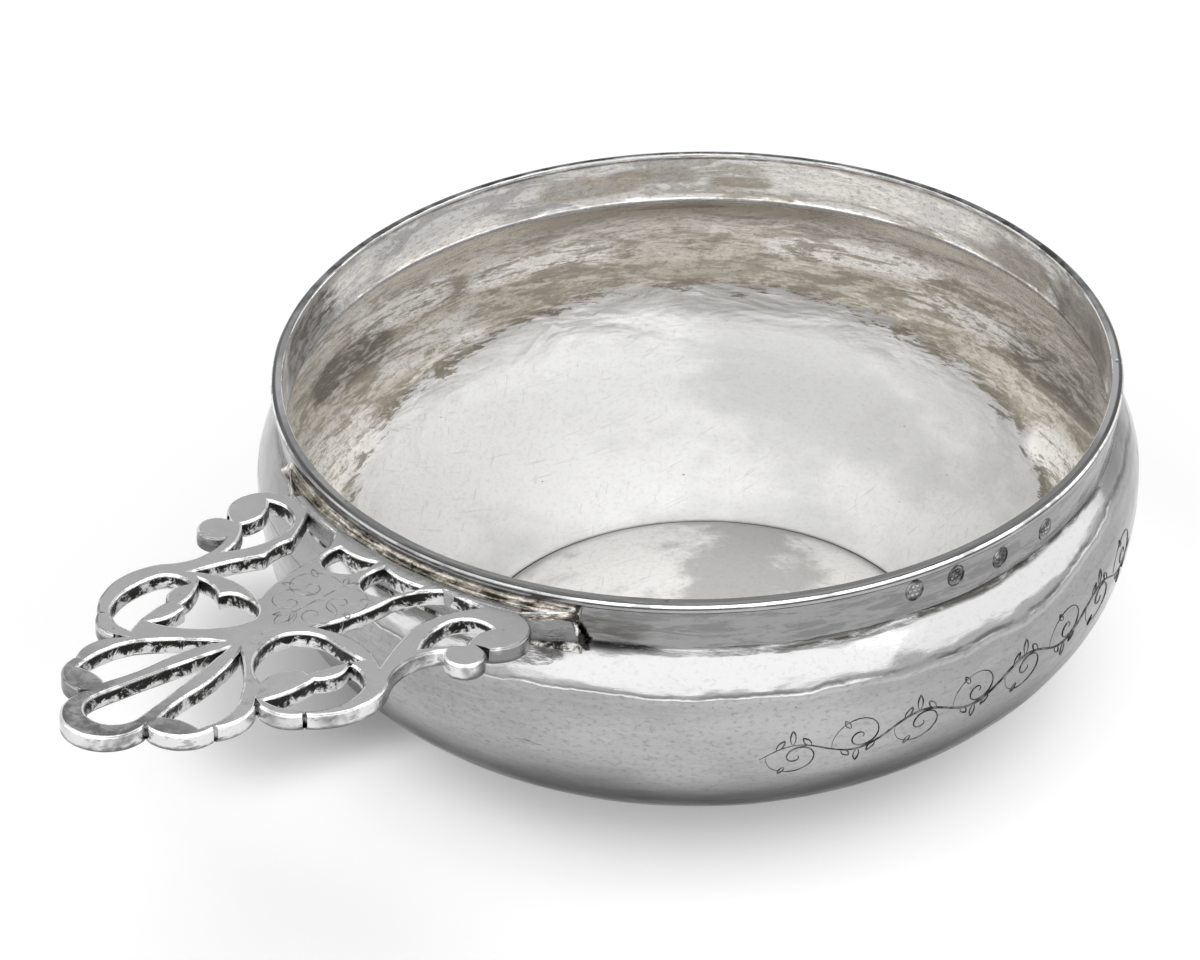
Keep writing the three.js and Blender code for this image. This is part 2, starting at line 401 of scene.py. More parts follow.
# bowl: raised from one sheet, its section in millimetres from the middle line and the floor
bowl = dict(
    height=53.5,
    lipRadius=65.0,
    lipWidth=1.8,
    lipDepth=1.6,
    lipRound=0.8,          # of the outer edge
    lipInRound=0.22,
    lipStep=0.25,          # from the lip's side in to the collar
    neckRadius=64.0,
    neckHeight=45.05,
    neckWall=1.2,
    neckLedge=0.35,        # the neck stands in from the collar's inside by this
    wall=0.7,
    bellyRadius=67.78,
    bellyHeight=36.5,
    shoulderAngle=41.8,
    shoulderLead=1.9,
    shoulderDrop=3.7,
    bellyDrop=20.0,
    footRadius=37.5,
    footWidth=1.8,
    footAngle=28.5,
    footLead=22.7,
    domeRise=3.4,
    domeStep=0.8,
    steps=320,
    dent=0.1,              # depth of the hammered unevenness
    lipDent=0.05,
    # borders of the materials
    domeEdge=36,
    insideFoot=3.6,
    band=(63.25, 51.6),    # the lip's band: distance out and height where it begins
    edgeHeight=51.8,
    outerEdge=64,
    # streaky patches of the inside, partly tarnish and partly painted reflection: bearing in degrees,
    # height, half width in degrees, half height, tone
    patches=[
        (65, 34.2, 14, 3.4, 0.98),
        (84, 27, 13, 4.5, 0.78),
        (106, 20.5, 12, 6.0, 0.8),
        (20, 35.0, 17, 3.4, 0.97),
        (0, 30, 15, 3.6, 0.9),
        (-23, 19, 10, 4.0, 0.9),
        (84, 47.0, 15, 2.2, 0.98),
        (103, 49.5, 9, 3.6, 0.98),
        (14, 50, 24, 4.0, 0.98),
        (112, 40.5, 30, 5.0, 0.9),
        (49, 50, 8, 2.2, 0.36),
        (36, 48.6, 6, 1.6, 0.4),
        (45, 43.2, 9, 0.9, 0.36),
        (88, 35, 12, 4.5, 0.86),
        (99, 31, 12, 5.0, 0.2),
        (70, 28, 10, 3.0, 0.36),
        (42, 30, 12, 2.4, 0.42),
        (-17, 29, 14, 5.0, 0.24),
        (-31, 48, 14, 6.0, 0.26),
        (-12, 48, 8, 4.0, 0.36),
        (58, 49, 10, 3.0, 0.45),
        (116, 49, 13, 6.0, 0.09),
    ],
)


def bowlSection():
    size = bowl
    lip, top = size["lipRadius"], size["height"]
    outRound, inRound = size["lipRound"], size["lipInRound"]
    inLip = lip - size["lipWidth"]
    under = top - size["lipDepth"]
    collar = lip - size["lipStep"]
    slope, lead, drop = size["shoulderAngle"], size["shoulderLead"], size["shoulderDrop"]
    footSlope = size["footAngle"]
    neck = (size["neckRadius"], size["neckHeight"])
    belly = (size["bellyRadius"], size["bellyHeight"])
    foot = (size["footRadius"], 0.0)

    # the lip's top, its rounding and side, and the step in to the collar
    section = straight((inLip + inRound, top), (lip - outRound, top), 5)
    section += bend((lip - outRound, top), (lip - outRound * 0.45, top),
                    (lip, top - outRound * 0.45), (lip, top - outRound), 8)
    section += straight((lip, top - outRound), (lip, under + 0.25), 3)
    section += bend((lip, under + 0.25), (lip, under + 0.08),
                    (collar, under + 0.1), (collar, under - 0.08), 3)

    # collar, neck and shoulder, and the belly down to the foot
    section += straight((collar, under - 0.08), along(neck, 0.35, 84), 12)
    section += bend(along(neck, 0.35, 84), along(neck, 0.1, 84),
                    along(neck, 0.1, -40), along(neck, 0.35, -slope), 3)
    section += bend(along(neck, 0.35, -slope), along(neck, lead, -slope), along(belly, drop, 90), belly, 14)
    section += bend(belly, along(belly, size["bellyDrop"], -90),
                    along(foot, size["footLead"], footSlope), foot, 34)

    # foot and dome from below, and then from above
    wall, rise = size["wall"], size["domeRise"]
    inFoot = foot[0] - size["footWidth"]
    edge = (inFoot - 0.8, size["domeStep"])
    third = edge[0] / 3
    section += straight(foot, (inFoot, 0.0), 2)
    section += straight((inFoot, 0.0), edge, 2)
    section += bend(edge, along(edge, third, 180 - footSlope / 2), (third, rise), (0.0, rise), 12)
    section.append((0.0, rise))
    upper = (edge[0], edge[1] + wall)
    section += bend((0.0, rise + wall), (third, rise + wall),
                    along(upper, third, 180 - footSlope / 2), upper, 14)
    inner = along(foot, wall, 90 + footSlope)
    section += bend(upper, along(upper, 0.9, -16), along(inner, 0.7, 180 + footSlope), inner, 4)

    # inside, up over belly, shoulder and neck to the ledge, the collar and the lip
    innerBelly = (belly[0] - wall, belly[1])
    section += bend(inner, along(inner, size["footLead"], footSlope),
                    along(innerBelly, size["bellyDrop"], -90), innerBelly, 40)
    innerNeck = (neck[0] - size["neckWall"], neck[1])
    ledge = (innerNeck[0] + size["neckLedge"], innerNeck[1] + 1.15)
    below, above = along(innerNeck, 0.75, -slope), along(innerNeck, 0.4, 75)
    section += bend(innerBelly, along(innerBelly, drop, 90), along(innerNeck, lead, -slope), below, 14)
    section += bend(below, along(innerNeck, 0.25, -slope), along(innerNeck, 0.2, 120), above, 6)
    section += bend(above, along(innerNeck, 0.8, 66), along(ledge, 0.25, -110), ledge, 5)
    section += straight(ledge, (inLip, top - inRound), 14)
    section += bend((inLip, top - inRound), (inLip, top - inRound * 0.45),
                    (inLip + inRound * 0.55, top), (inLip + inRound, top), 4)
    return section


# number of the material at a face: the outside, the inside, the lip's band or its worn edges
def bowlSurface(centre, normal):
    size = bowl
    east = centre.x - axisX
    out, up = hypot(east, centre.y) / mm, centre.z / mm
    bandRadius, bandHeight = size["band"]
    if up > size["edgeHeight"] and 0.2 < normal.z < (0.7 if out > size["outerEdge"] else 0.96):
        return 3
    if up > bandHeight and out > bandRadius:
        return 2
    facing = (normal.x * east + normal.y * centre.y) / max(out * mm, mm)
    onDome = out < size["domeEdge"] and normal.z > 0
    underFoot = up < size["insideFoot"] and normal.z < -0.3
    return 0 if (facing > 0.03 and not onDome) or underFoot else 1


def makeBowl():
    size = bowl
    section = [(axisX + radius * mm, 0, height * mm) for radius, height in bowlSection()]
    obj = makeMesh(drawLines("raisedBowl", [section], closed=True))
    takeUp(obj)
    bpy.ops.object.mode_set(mode="EDIT")
    bpy.ops.mesh.select_all(action="SELECT")
    bpy.ops.mesh.spin(steps=size["steps"], angle=2 * pi, center=(axisX, 0, 0), axis=(0, 0, 1))
    bpy.ops.object.mode_set(mode="OBJECT")
    cleanUp(obj, 0.01 * mm)
    settle(obj)

    # the hammer left the wall a little uneven, in low ripples that run round it
    mesh = obj.data
    normals = [vertex.normal.copy() for vertex in mesh.vertices]
    for vertex, normal in zip(mesh.vertices, normals):
        place = vertex.co
        out, up = hypot(place.x - axisX, place.y) / mm, place.z / mm
        spot = Vector(((place.x - axisX) / mm, place.y / mm, up * 1.8))
        quiet = min(1.0, max(0.0, (up - 0.6) / 4.0))
        if out < size["domeEdge"]:
            quiet = 0.35 if normal.z > 0 else 0.0
        ripple = noise.noise(spot * 0.09) * 0.55 + noise.noise(spot * 0.2 + Vector((7, 3, 1))) * 0.45
        depth = size["lipDent"] if up > 50.5 else size["dent"]
        vertex.co = place + normal * (ripple * depth * quiet * mm)
    mesh.update()
    for face in mesh.polygons:
        face.material_index = bowlSurface(face.center, face.normal)
    smoothByAngle(obj, 40)
    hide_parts("bowl")
    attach(obj, "root")
    print("bowl made", len(mesh.vertices))
    return obj


# where the bowl's skin changes: bearings in degrees, heights and distances out in millimetres
skin = dict(
    cameraSide=-137,
    farSide=42.7,
    handleSide=180,
    # outside
    rightSide=-70,
    shadedRight=-62,
    creaseClimb=-50,
    farRight=-44,
    shoulder=(39.6, 41.2),
    paintedBellySheen=(24, 29, 33, 37),
    paintedFootShade=(17.0, 29.0),
    collar=(44.8, 46.0),
    neckCrease=45.2,
    turnCrease=(38.9, 42.8),         # over the belly, and where it climbs to at the right
    # bearing, height, half width and half height, as in the patches
    solderStainAndShade=(-149.5, 47.8, 7, 4.5),
    solderCreaseShade=(-148, 45.2, 7, 0.9),
    solderRun=(-161.5, 43.0, 6.5, 2.1),
    # inside
    plainSmudge=95,
    tide=(10.0, 27.0),               # height of the tidemark at the front and at the back
    neckLine=(44.5, 45.2),
    innerCollar=(45.0, 45.6),
    innerRidge=45.15,
    shadeUnderLip=52.95,
    domeCrease=36.4,
    dome=(33.0, 36.0),
    # lip
    strip=(63.45, 63.7),             # where the dark strip begins, at the sides and at the back
    bandSide=(64.75, 64.88),
    underRound=52.72,
)


def outsideSilver():
    material, tree, shader = newMaterial("polishedOutside")
    out, up, way = roundPlace(tree)
    place = objectPlace(tree, scale=(1, 1, 2.2))
    long = objectPlace(tree, scale=(1, 1, 6))
    soft = cloud(tree, place, 38, 4, 0.5)
    streaks = cloud(tree, long, 150, 6, 0.62, 0.4)
    fine = cloud(tree, long, 700, 4, 0.6)
    grit = cloud(tree, objectPlace(tree, scale=(1, 1, 1.6)), 1000, 4, 0.72)
    tone = mixTwo(tree, soft, streaks, 0.65)
    colour = blendColours(tree, fade(tree, tone, 0.40, 0.60), grey(0.335), grey(0.415))
    shoulder = fade(tree, plus(tree, up, times(tree, soft, 2.0)), *skin["shoulder"])
    colour = tinted(tree, colour, shoulder, 0.35)
    # painted sheen: the middle of the belly is lighter on the side facing the camera
    start, full, fading, end = skin["paintedBellySheen"]
    middle = times(tree, fade(tree, up, start, full), fade(tree, up, fading, end, 1.0, 0.0))
    facing = fade(tree, towards(tree, way, skin["cameraSide"]), 0.75, 1.0, 0.0, 0.3)
    colour = tinted(tree, colour, times(tree, middle, facing), 0.58)
    shaded = fade(tree, towards(tree, way, skin["shadedRight"]), 0.72, 0.98)
    shaded = times(tree, shaded, fade(tree, up, 37, 41, 1.0, 0.0))
    colour = tinted(tree, colour, times(tree, shaded, 0.35), 0.16)
    # painted shade: the belly darkens towards its foot
    low = fade(tree, plus(tree, up, times(tree, soft, 6)), *skin["paintedFootShade"], 1.0, 0.0)
    colour = tinted(tree, colour, low, 0.13)

    # the collar is duller, with smudges, and the crease under it is darker, partly grime and partly painted
    # shade that grows towards the right
    collar = fade(tree, up, *skin["collar"])
    blotch = fade(tree, cloud(tree, long, 95, 9, 0.74, 0.6), 0.47, 0.56)
    dull = times(tree, collar, plus(tree, times(tree, blotch, 0.42), 0.24))
    colour = tinted(tree, colour, dull, 0.15)
    right = fade(tree, towards(tree, way, skin["rightSide"]), 0.1, 0.9)
    wandering = plus(tree, up, swing(tree, soft, 2.4))
    crease = near(tree, wandering, skin["neckCrease"], 0.15, 0.75)
    crease = times(tree, crease, fade(tree, streaks, 0.40, 0.56, 0.2, 1.0))
    crease = times(tree, crease, plus(tree, times(tree, right, 0.45), 0.5))
    colour = tinted(tree, colour, crease, 0.03, 0.1)

    # a hammered crease runs round where the shoulder turns into the belly, with a line of painted shade
    # along it
    wavy = swing(tree, cloud(tree, objectPlace(tree, scale=(1, 1, 0.3)), 95, 4, 0.55), 3.2)
    turn = fade(tree, towards(tree, way, skin["creaseClimb"]), 0.72, 1.0, *skin["turnCrease"])
    fromTurn = minus(tree, plus(tree, up, wavy), turn)
    fromTurn = math(tree, "DIVIDE", fromTurn, plus(tree, 1.0, times(tree, right, 0.7)))
    sunk = near(tree, fromTurn, 0.0, 0.05, 0.4)
    line = times(tree, sunk, fade(tree, streaks, 0.42, 0.55, 0.25, 1.0))
    line = times(tree, line, plus(tree, times(tree, right, 0.4), 0.5))
    colour = tinted(tree, colour, line, 0.1)
    # a painted highlight just under the crease, towards the right
    lit = times(tree, near(tree, fromTurn, -0.7, 0.05, 0.3), times(tree, right, 0.22))
    colour = tinted(tree, colour, lit, 0.75)

    # towards the right they darken, as painted shade
    farRight = fade(tree, towards(tree, way, skin["farRight"]), 0.84, 0.98)
    farRight = times(tree, farRight, fade(tree, up, 40, 42))
    colour = tinted(tree, colour, times(tree, farRight, 0.52), 0.12)

    # solder ran down over the shoulder beside the handle and was left grey; beside the flange the collar's
    # stain carries painted shade, and painted shade darkens the crease
    stain = patchShare(tree, way, up, *skin["solderStainAndShade"])
    stain = times(tree, stain, fade(tree, streaks, 0.4, 0.58, 0.25, 0.85))
    colour = tinted(tree, colour, stain, 0.09, 0.05)
    seamShade = patchShare(tree, way, up, *skin["solderCreaseShade"])
    colour = tinted(tree, colour, times(tree, seamShade, fade(tree, streaks, 0.36, 0.5, 0.5, 1.0)), 0.015)
    run = patchShare(tree, way, up, *skin["solderRun"])
    run = fade(tree, plus(tree, run, swing(tree, streaks, 1.6)), 0.3, 0.46)
    rim = times(tree, times(tree, run, minus(tree, 1.0, run)), 3.2)
    mottled = blendColours(tree, fade(tree, fine, 0.42, 0.6), grey(0.2, 0.01), grey(0.5))
    colour = blendColours(tree, run, colour, mottled)
    colour = tinted(tree, colour, times(tree, rim, 0.7), 0.08)

    # pits and grit
    specks = times(tree, pits(tree, objectPlace(tree), 300, 0.06), fade(tree, soft, 0.42, 0.6, 0.1, 0.7))
    colour = tinted(tree, colour, specks, 0.08)
    flaws = pits(tree, objectPlace(tree, scale=(1, 1, 1.5)), 150, 0.045)
    colour = tinted(tree, colour, times(tree, flaws, fade(tree, streaks, 0.45, 0.55)), 0.06)
    gritShare = fade(tree, up, 38.5, 40.5, 0.4, 0.16)
    colour = tinted(tree, colour, times(tree, fade(tree, grit, 0.5, 0.7), gritShare), 0.14)
    rough = plus(tree, fade(tree, streaks, 0.3, 0.75, 0.09, 0.2), times(tree, run, 0.12))
    finishMetal(tree, shader, colour, rough)
    # a darker edge tint low on the belly, also painted shade
    tint = blendColours(tree, fade(tree, up, 18, 30), grey(0.45), grey(1.0))
    plug(tree, shader.inputs["Specular Tint"], tint)
    hammer = cloud(tree, place, 90, 2, 0.5)
    bumps = [(hammer, 0.0004), (fine, 0.000014), (specks, -0.00004), (crease, -0.0001), (sunk, -0.00006)]
    ridges(tree, bumps, shader)
    return material


def insideSilver():
    material, tree, shader = newMaterial("satinInside")
    out, up, way = roundPlace(tree)
    place = objectPlace(tree, scale=(1, 1, 2.5))
    long = objectPlace(tree, scale=(1, 1, 5))
    soft = cloud(tree, place, 26, 5, 0.6)
    streaks = cloud(tree, long, 80, 9, 0.7, 0.9)
    fleck = cloud(tree, long, 330, 8, 0.73, 0.6)
    grain = cloud(tree, objectPlace(tree, scale=(1, 1, 2)), 1200, 4, 0.72)
    mixed = mixTwo(tree, streaks, fleck, 0.6)
    away = towards(tree, way, skin["farSide"])
    colour = blendColours(tree, fade(tree, soft, 0.42, 0.6), grey(0.44), grey(0.55))

    # the wall above a ragged tidemark is streaked brown and cream, the floor below it is plain
    front, back = skin["tide"]
    tide = node(tree, "MapRange", {0: away, 1: 0.1, 2: 1.0, 3: front, 4: back}).outputs[0]
    ragged = plus(tree, minus(tree, up, tide), swing(tree, streaks, -12))
    ragged = plus(tree, ragged, swing(tree, fleck, -5))
    belowNeck = fade(tree, up, *skin["neckLine"], 1.0, 0.0)
    wall = times(tree, fade(tree, ragged, -0.25, 0.35), belowNeck)
    streaked = blendColours(tree, fade(tree, mixed, 0.44, 0.56), grey(0.36, 0.1), grey(0.72, 0.055))
    paler = times(tree, fade(tree, up, 34, 40), fade(tree, mixed, 0.44, 0.53, 0.3, 0.85))
    streaked = tinted(tree, streaked, paler, 0.94, 0.05)
    # under the neck it is plain and pale, and brownish at the back
    behind = fade(tree, away, 0.84, 0.97)
    plain = times(tree, fade(tree, up, 39.5, 42.0), fade(tree, mixed, 0.4, 0.5, 0.6, 0.9))
    plainTone = blendColours(tree, behind, grey(0.94, 0.06), grey(0.56, 0.09))
    streaked = blendColours(tree, plain, streaked, plainTone)
    colour = blendColours(tree, wall, colour, streaked)
    mark = times(tree, fade(tree, ragged, -0.6, -0.1), fade(tree, ragged, 0.5, 3.2, 1.0, 0.0))
    mark = times(tree, mark, fade(tree, mixed, 0.45, 0.55, 0.95, 0.2))
    colour = tinted(tree, colour, mark, 0.16, 0.1)

    # the collar's inside is brighter
    collar = fade(tree, up, *skin["innerCollar"])
    smudge = fade(tree, mixTwo(tree, streaks, fleck, 0.85), 0.47, 0.53)
    plainShare = fade(tree, towards(tree, way, skin["plainSmudge"]), 0.5, 0.8)
    smudged = blendColours(tree, plainShare, grey(0.5, 0.06), grey(0.56))
    smudged = blendColours(tree, smudge, grey(0.84, 0.005), smudged)
    colour = blendColours(tree, collar, colour, smudged)
    # a painted highlight along the ridge at the neck
    colour = tinted(tree, colour, near(tree, up, skin["innerRidge"], 0.1, 0.45, 0.85), 0.98)
    # painted shade just under the lip's inner edge, stronger at the back
    wearAndShade = times(tree, near(tree, up, skin["shadeUnderLip"], 0.05, 0.3), fade(tree, away, 0.3, 0.95, 0.25, 0.9))
    colour = tinted(tree, colour, times(tree, wearAndShade, fade(tree, fleck, 0.36, 0.55, 0.4, 1.0)), 0.08)

    # pale patches scatter the light, and dark ones don't; the patches stand partly for tarnish and partly
    # for painted reflections
    bright = times(tree, collar, 0.6)
    pale = times(tree, times(tree, plain, belowNeck), fade(tree, behind, 0.0, 1.0, 0.7, 0.1))
    bright = math(tree, "MAXIMUM", bright, pale)
    for *spot, tone in bowl["patches"]:
        isPale = tone > 0.5
        share = fade(tree, patchShare(tree, way, up, *spot), 0.1, 0.75, 0.0, 0.95)
        broken = (0.45, 0.53, 0.1, 1.0) if isPale else (0.46, 0.56, 1.0, 0.3)
        share = times(tree, share, fade(tree, mixed, *broken))
        if isPale:
            bright = math(tree, "MAXIMUM", bright, share)
        else:
            bright = times(tree, bright, minus(tree, 1.0, share))
        colour = tinted(tree, colour, share, tone, 0.02 if isPale else 0.09)

    # the floor's dome is whiter, with a stained crease where it rises
    wandering = plus(tree, out, times(tree, fleck, 1.6))
    stain = near(tree, wandering, skin["domeCrease"], 0.1, 1.0, 0.55)
    stain = times(tree, stain, fade(tree, up, 5.0, 6.0, 1.0, 0.0))
    stain = times(tree, stain, fade(tree, streaks, 0.44, 0.54, 0.35, 1.0))
    colour = tinted(tree, colour, stain, 0.2, 0.08)
    dome = fade(tree, out, *skin["dome"], 1.0, 0.0)
    clouded = fade(tree, plus(tree, soft, times(tree, mixed, 0.45)), 0.66, 0.78)
    colour = blendColours(tree, dome, colour, blendColours(tree, clouded, grey(0.5), grey(0.84)))
    lines = math(tree, "MAXIMUM", scratches(tree, 20, 90, 0.64), scratches(tree, -35, 120, 0.65))
    lines = times(tree, lines, fade(tree, soft, 0.45, 0.6))
    colour = tinted(tree, colour, times(tree, lines, 0.24), 0.2)
    flaws = times(tree, pits(tree, place, 150, 0.05), fade(tree, streaks, 0.44, 0.56))
    colour = tinted(tree, colour, flaws, 0.1, 0.05)
    rubbed = fade(tree, ragged, -1.0, 1.0, 0.16, 0.5)
    colour = tinted(tree, colour, times(tree, fade(tree, grain, 0.48, 0.68), rubbed), 0.2, 0.08)
    metal = minus(tree, fade(tree, out, 33.0, 37.0, 0.66, 0.84), times(tree, bright, 0.36))
    rough = plus(tree, fade(tree, up, 8, 46, 0.44, 0.15), times(tree, fleck, 0.1))
    finishMetal(tree, shader, colour, rough, metal)
    wave = times(tree, cloud(tree, place, 70, 3, 0.5, 0.6), fade(tree, up, 9, 16, 0.15, 1.0))
    swell = times(tree, cloud(tree, objectPlace(tree, scale=(1, 1, 1.4)), 60, 2, 0.5, 1.0), collar)
    bumps = [(wave, 0.0006), (swell, 0.0012), (streaks, 0.00008), (fleck, 0.00004), (lines, -0.000008)]
    ridges(tree, bumps, shader)
    return material


def lipSilver():
    material, tree, shader = newMaterial("wornLipAndPaintedLight")
    out, up, way = roundPlace(tree)
    place = objectPlace(tree)
    soft = cloud(tree, place, 60, 5, 0.6)
    away = towards(tree, way, skin["farSide"])
    rubbed = cloud(tree, objectPlace(tree, scale=(1, 1, 0.2)), 190, 5, 0.65)
    # painted light: the top is darker at the front, lighter at the back and dark at its outer part
    tone = blendColours(tree, fade(tree, away, -0.9, 0.1), grey(0.23), grey(0.38))
    tone = tinted(tree, tone, fade(tree, out, 64.1, 64.4, 0.0, 0.9), 0.04)
    tone = tinted(tree, tone, fade(tree, away, 0.3, 0.8), 0.75)
    colour = tinted(tree, tone, fade(tree, soft, 0.42, 0.6, 0.0, 0.6), 0.13)

    # the far half has a dark outer strip, widest to the left and right, a painted dark reflection
    farHalf = fade(tree, away, 0.1, 0.45)
    start = plus(tree, fade(tree, away, 0.7, 0.99, *skin["strip"]), swing(tree, rubbed, 0.9))
    strip = times(tree, fade(tree, minus(tree, out, start), 0.0, 0.1), farHalf)
    stripTone = blendColours(tree, fade(tree, rubbed, 0.4, 0.62), grey(0.03), grey(0.2))
    colour = blendColours(tree, strip, colour, stripTone)
    crack = times(tree, near(tree, minus(tree, out, 0.12), start, 0.03, 0.14), farHalf)
    colour = tinted(tree, colour, times(tree, crack, fade(tree, soft, 0.38, 0.5, 0.2, 1.0)), 0.008)

    # the band's upright side is like the collar, with a line of painted shade under the rounding
    side = fade(tree, out, *skin["bandSide"])
    sideTone = blendColours(tree, fade(tree, soft, 0.4, 0.62), grey(0.27), grey(0.4))
    colour = blendColours(tree, side, colour, sideTone)
    under = times(tree, near(tree, up, skin["underRound"], 0.06, 0.22), side)
    colour = tinted(tree, colour, times(tree, under, fade(tree, rubbed, 0.36, 0.5, 0.35, 0.9)), 0.05)
    nicks = pits(tree, place, 210, 0.13)
    colour = tinted(tree, colour, times(tree, nicks, 0.8), 0.05)
    finishMetal(tree, shader, colour, 0.22)
    ridges(tree, [(cloud(tree, place, 120, 3, 0.5), 0.00015), (nicks, -0.0002)], shader)
    return material


def lipEdge():
    material, tree, shader = newMaterial("rubbedLipEdgeAndPaintedLight")
    out, up, way = roundPlace(tree)
    wearAndShade = cloud(tree, objectPlace(tree), 150, 5, 0.6)
    away = towards(tree, way, skin["farSide"])
    handled = towards(tree, way, skin["handleSide"])
    # painted light: the edge is bright at the front and darker towards the back, and dark on the outside at
    # the back
    bright = blendColours(tree, fade(tree, wearAndShade, 0.4, 0.5), grey(0.34), grey(0.8))
    bright = tinted(tree, bright, fade(tree, handled, cos(radians(31)), cos(radians(24)), 0.0, 0.75), 0.12)
    bright = tinted(tree, bright, fade(tree, away, 0.2, 0.8, 0.0, 0.66), 0.1)
    behind = times(tree, fade(tree, away, 0.0, 0.5), fade(tree, out, 64.2, 64.5))
    dark = blendColours(tree, fade(tree, wearAndShade, 0.5, 0.62), grey(0.02), grey(0.2))
    finishMetal(tree, shader, blendColours(tree, behind, bright, dark), 0.16)
    ridges(tree, [(wearAndShade, 0.0002)], shader)
    return material


bowlPiece = makeBowl()
for material in (outsideSilver(), insideSilver(), lipSilver(), lipEdge()):
    bowlPiece.data.materials.append(material)


# handle: outlines in millimetres, each corner being its reach from the bowl's middle line, its
# distance from the handle's middle line and how far the arc to the next corner swells out
handle = dict(
    top=51.0,              # height of the top at the lip
    lipReach=65.0,
    tilt=3.1,
    thick=2.7,
    edge=0.42,             # rounding of the edges
    step=0.45,             # spacing of points along the arcs
    waver=0.06,            # unevenness of the sawn and filed edges
    rootRadius=66.2,
    rootAngle=20.0,
    side=[[63.95, 23.3, 4.3], [74.6, 26, 4.4], [79, 22.4, -1.85], [90, 22.9, 2.9], [105.4, 20.4, 1.5],
          [107.9, 13.3, 1.4], [115.5, 13.5, 2.5], [122.2, 6.5, 8.0]],
    drop=[[100, 0, 0.25], [121.5, 4.15, 4.75], [121.5, -4.15, 0.25]],
    pairs=dict(
        petal=[[99.2, 1.9, 0.6], [108.6, 11.2, 1], [117.7, 11.9, -0.55],
               [118.8, 5.8, 0.35], [109.6, 4.8, -0.5]],
        innerCrescent=[[89.1, 16.1, -0.35], [96.5, 13.5, -0.5], [97.4, 11.3, -0.6],
                       [102.9, 11.4, 1.6], [94.3, 3.05, 2.1], [88.9, 8.6, -0.15]],
        outerCrescent=[[91.1, 16.2, 0.9], [93.6, 21.1, 1], [102.4, 20.6, 1.2],
                       [106.3, 13.4, -0.55], [97.3, 14.5, -1.3]],
        stemGap=[[87.4, 5.6, -0.75], [74, 8.2, 0.7], [66.9, 11.5, 0.1],
                 [66.1, 18.7, -0.15], [71.8, 15.4, -0.25], [77, 14.9, -0.25], [88.4, 18.8, -1.9]],
        rootArch=[[68.8, 7.3, 0.3], [72.2, 6.8, 2.5], [72.2, 0.9, 0.2], [68.8, 0.9, -0.6]],
        sideHeart=[[68.6, 24.2, -0.7], [74.9, 23.5, -0.3], [81.2, 19.5, 0.5], [73.2, 17.4, 2]],
    ),
    # where the saw strayed from the drawing: corner, further out, further from the middle line
    strayNear=dict(
        side=[(1, -0.4, 0.2), (2, -0.4, 0.2), (4, -0.9, 0), (5, -0.9, 0), (6, 0.1, 0.3)],
        petal=[(2, -0.5, 0.3), (3, 0.1, 0.5), (4, 0.4, 0.1)],
        innerCrescent=[(0, -0.6, -0.2), (1, 0, -0.5), (2, 0, -0.6), (3, -0.1, -1.6), (5, -0.8, 0.4)],
        outerCrescent=[(0, -0.4, -0.7), (2, -0.4, 0.4), (3, -0.6, 0.1), (4, -0.5, 0.3)],
        stemGap=[(0, -0.4, -0.7), (1, -0.8, -0.7), (3, 0.4, -0.6), (4, -0.5, 0.4), (6, -0.6, 0.1)],
        rootArch=[(0, -0.3, 0.8), (1, 0.6, 0.3), (2, 0.2, -0.5), (3, -0.3, -0.4)],
        sideHeart=[(0, 0.8, -0.8), (1, 0.4, 0.3), (2, -0.7, 0.3), (3, 0.6, 0.3)],
    ),
    strayFar=dict(
        side=[(1, 0.3, -0.5), (2, 0.3, -0.5), (3, 0.7, 0.6), (4, 1.0, -0.2), (5, 0.8, 0), (6, 1.2, 0.3)],
        petal=[(1, -0.7, -0.5), (2, 0.5, -0.4), (3, -0.5, 0.3), (4, -0.7, -0.4)],
        innerCrescent=[(0, 0.5, 0.3, -0.6), (1, -0.3, -0.2), (2, 0, 0.8),
                       (3, -0.2, 1.6), (4, -0.8, 0), (5, -0.2, -0.4, 0.9)],
        outerCrescent=[(0, 0.5, 0.3), (1, -0.6, 0), (2, 0.9, -0.4), (4, 0.1, 0.7)],
        stemGap=[(0, 0.5, 0.6), (1, 0.9, 0.2), (3, -0.6, -0.5),
                 (4, 0.6, -0.9, 0.45), (5, 1.3, -0.7, 0.4), (6, 0.4, -0.3)],
        rootArch=[(0, 0.2, 0.7), (1, 0.2, 1.0), (2, -0.3, 0.5), (3, -0.5, 0.5)],
        sideHeart=[(0, -1.5, 0.7, -0.3), (1, -0.5, -0.4, -0.8), (2, 0.2, -0.3, 0.8), (3, -0.5, -0.5, 2.7)],
    ),
    # corners that only the far side has, each after the corner with that number
    addedFar=dict(
        innerCrescent=[(5, [91.0, 11.0, 0.6])],
        sideHeart=[(0, [70.8, 22.5, -0.3])],
    ),
    # file nicks where lobes of the outer edge meet: half width, depth at the top and below
    nick=(0.42, 2.0, 0.9),
)


# points of the arc between two corners, without the last one
def arcTo(corner, following, step):
    fromX, fromY, swell = corner
    start = Vector((fromX, fromY))
    chord = Vector((following[0] - fromX, following[1] - fromY))
    half = chord.length / 2
    sweep = 4 * atan(abs(swell) / half)
    radius = (half ** 2 + swell ** 2) / (2 * abs(swell))
    steps = max(3, ceil(radius * sweep / step))
    outward = Vector((-chord.y, chord.x)).normalized() * (1 if swell > 0 else -1)
    centre = start + chord * 0.5 + outward * (abs(swell) - radius)
    ahead = chord.normalized()
    turns = [sweep * (k / steps - 0.5) for k in range(steps)]
    return [centre + outward * (radius * cos(turn)) + ahead * (radius * sin(turn)) for turn in turns]


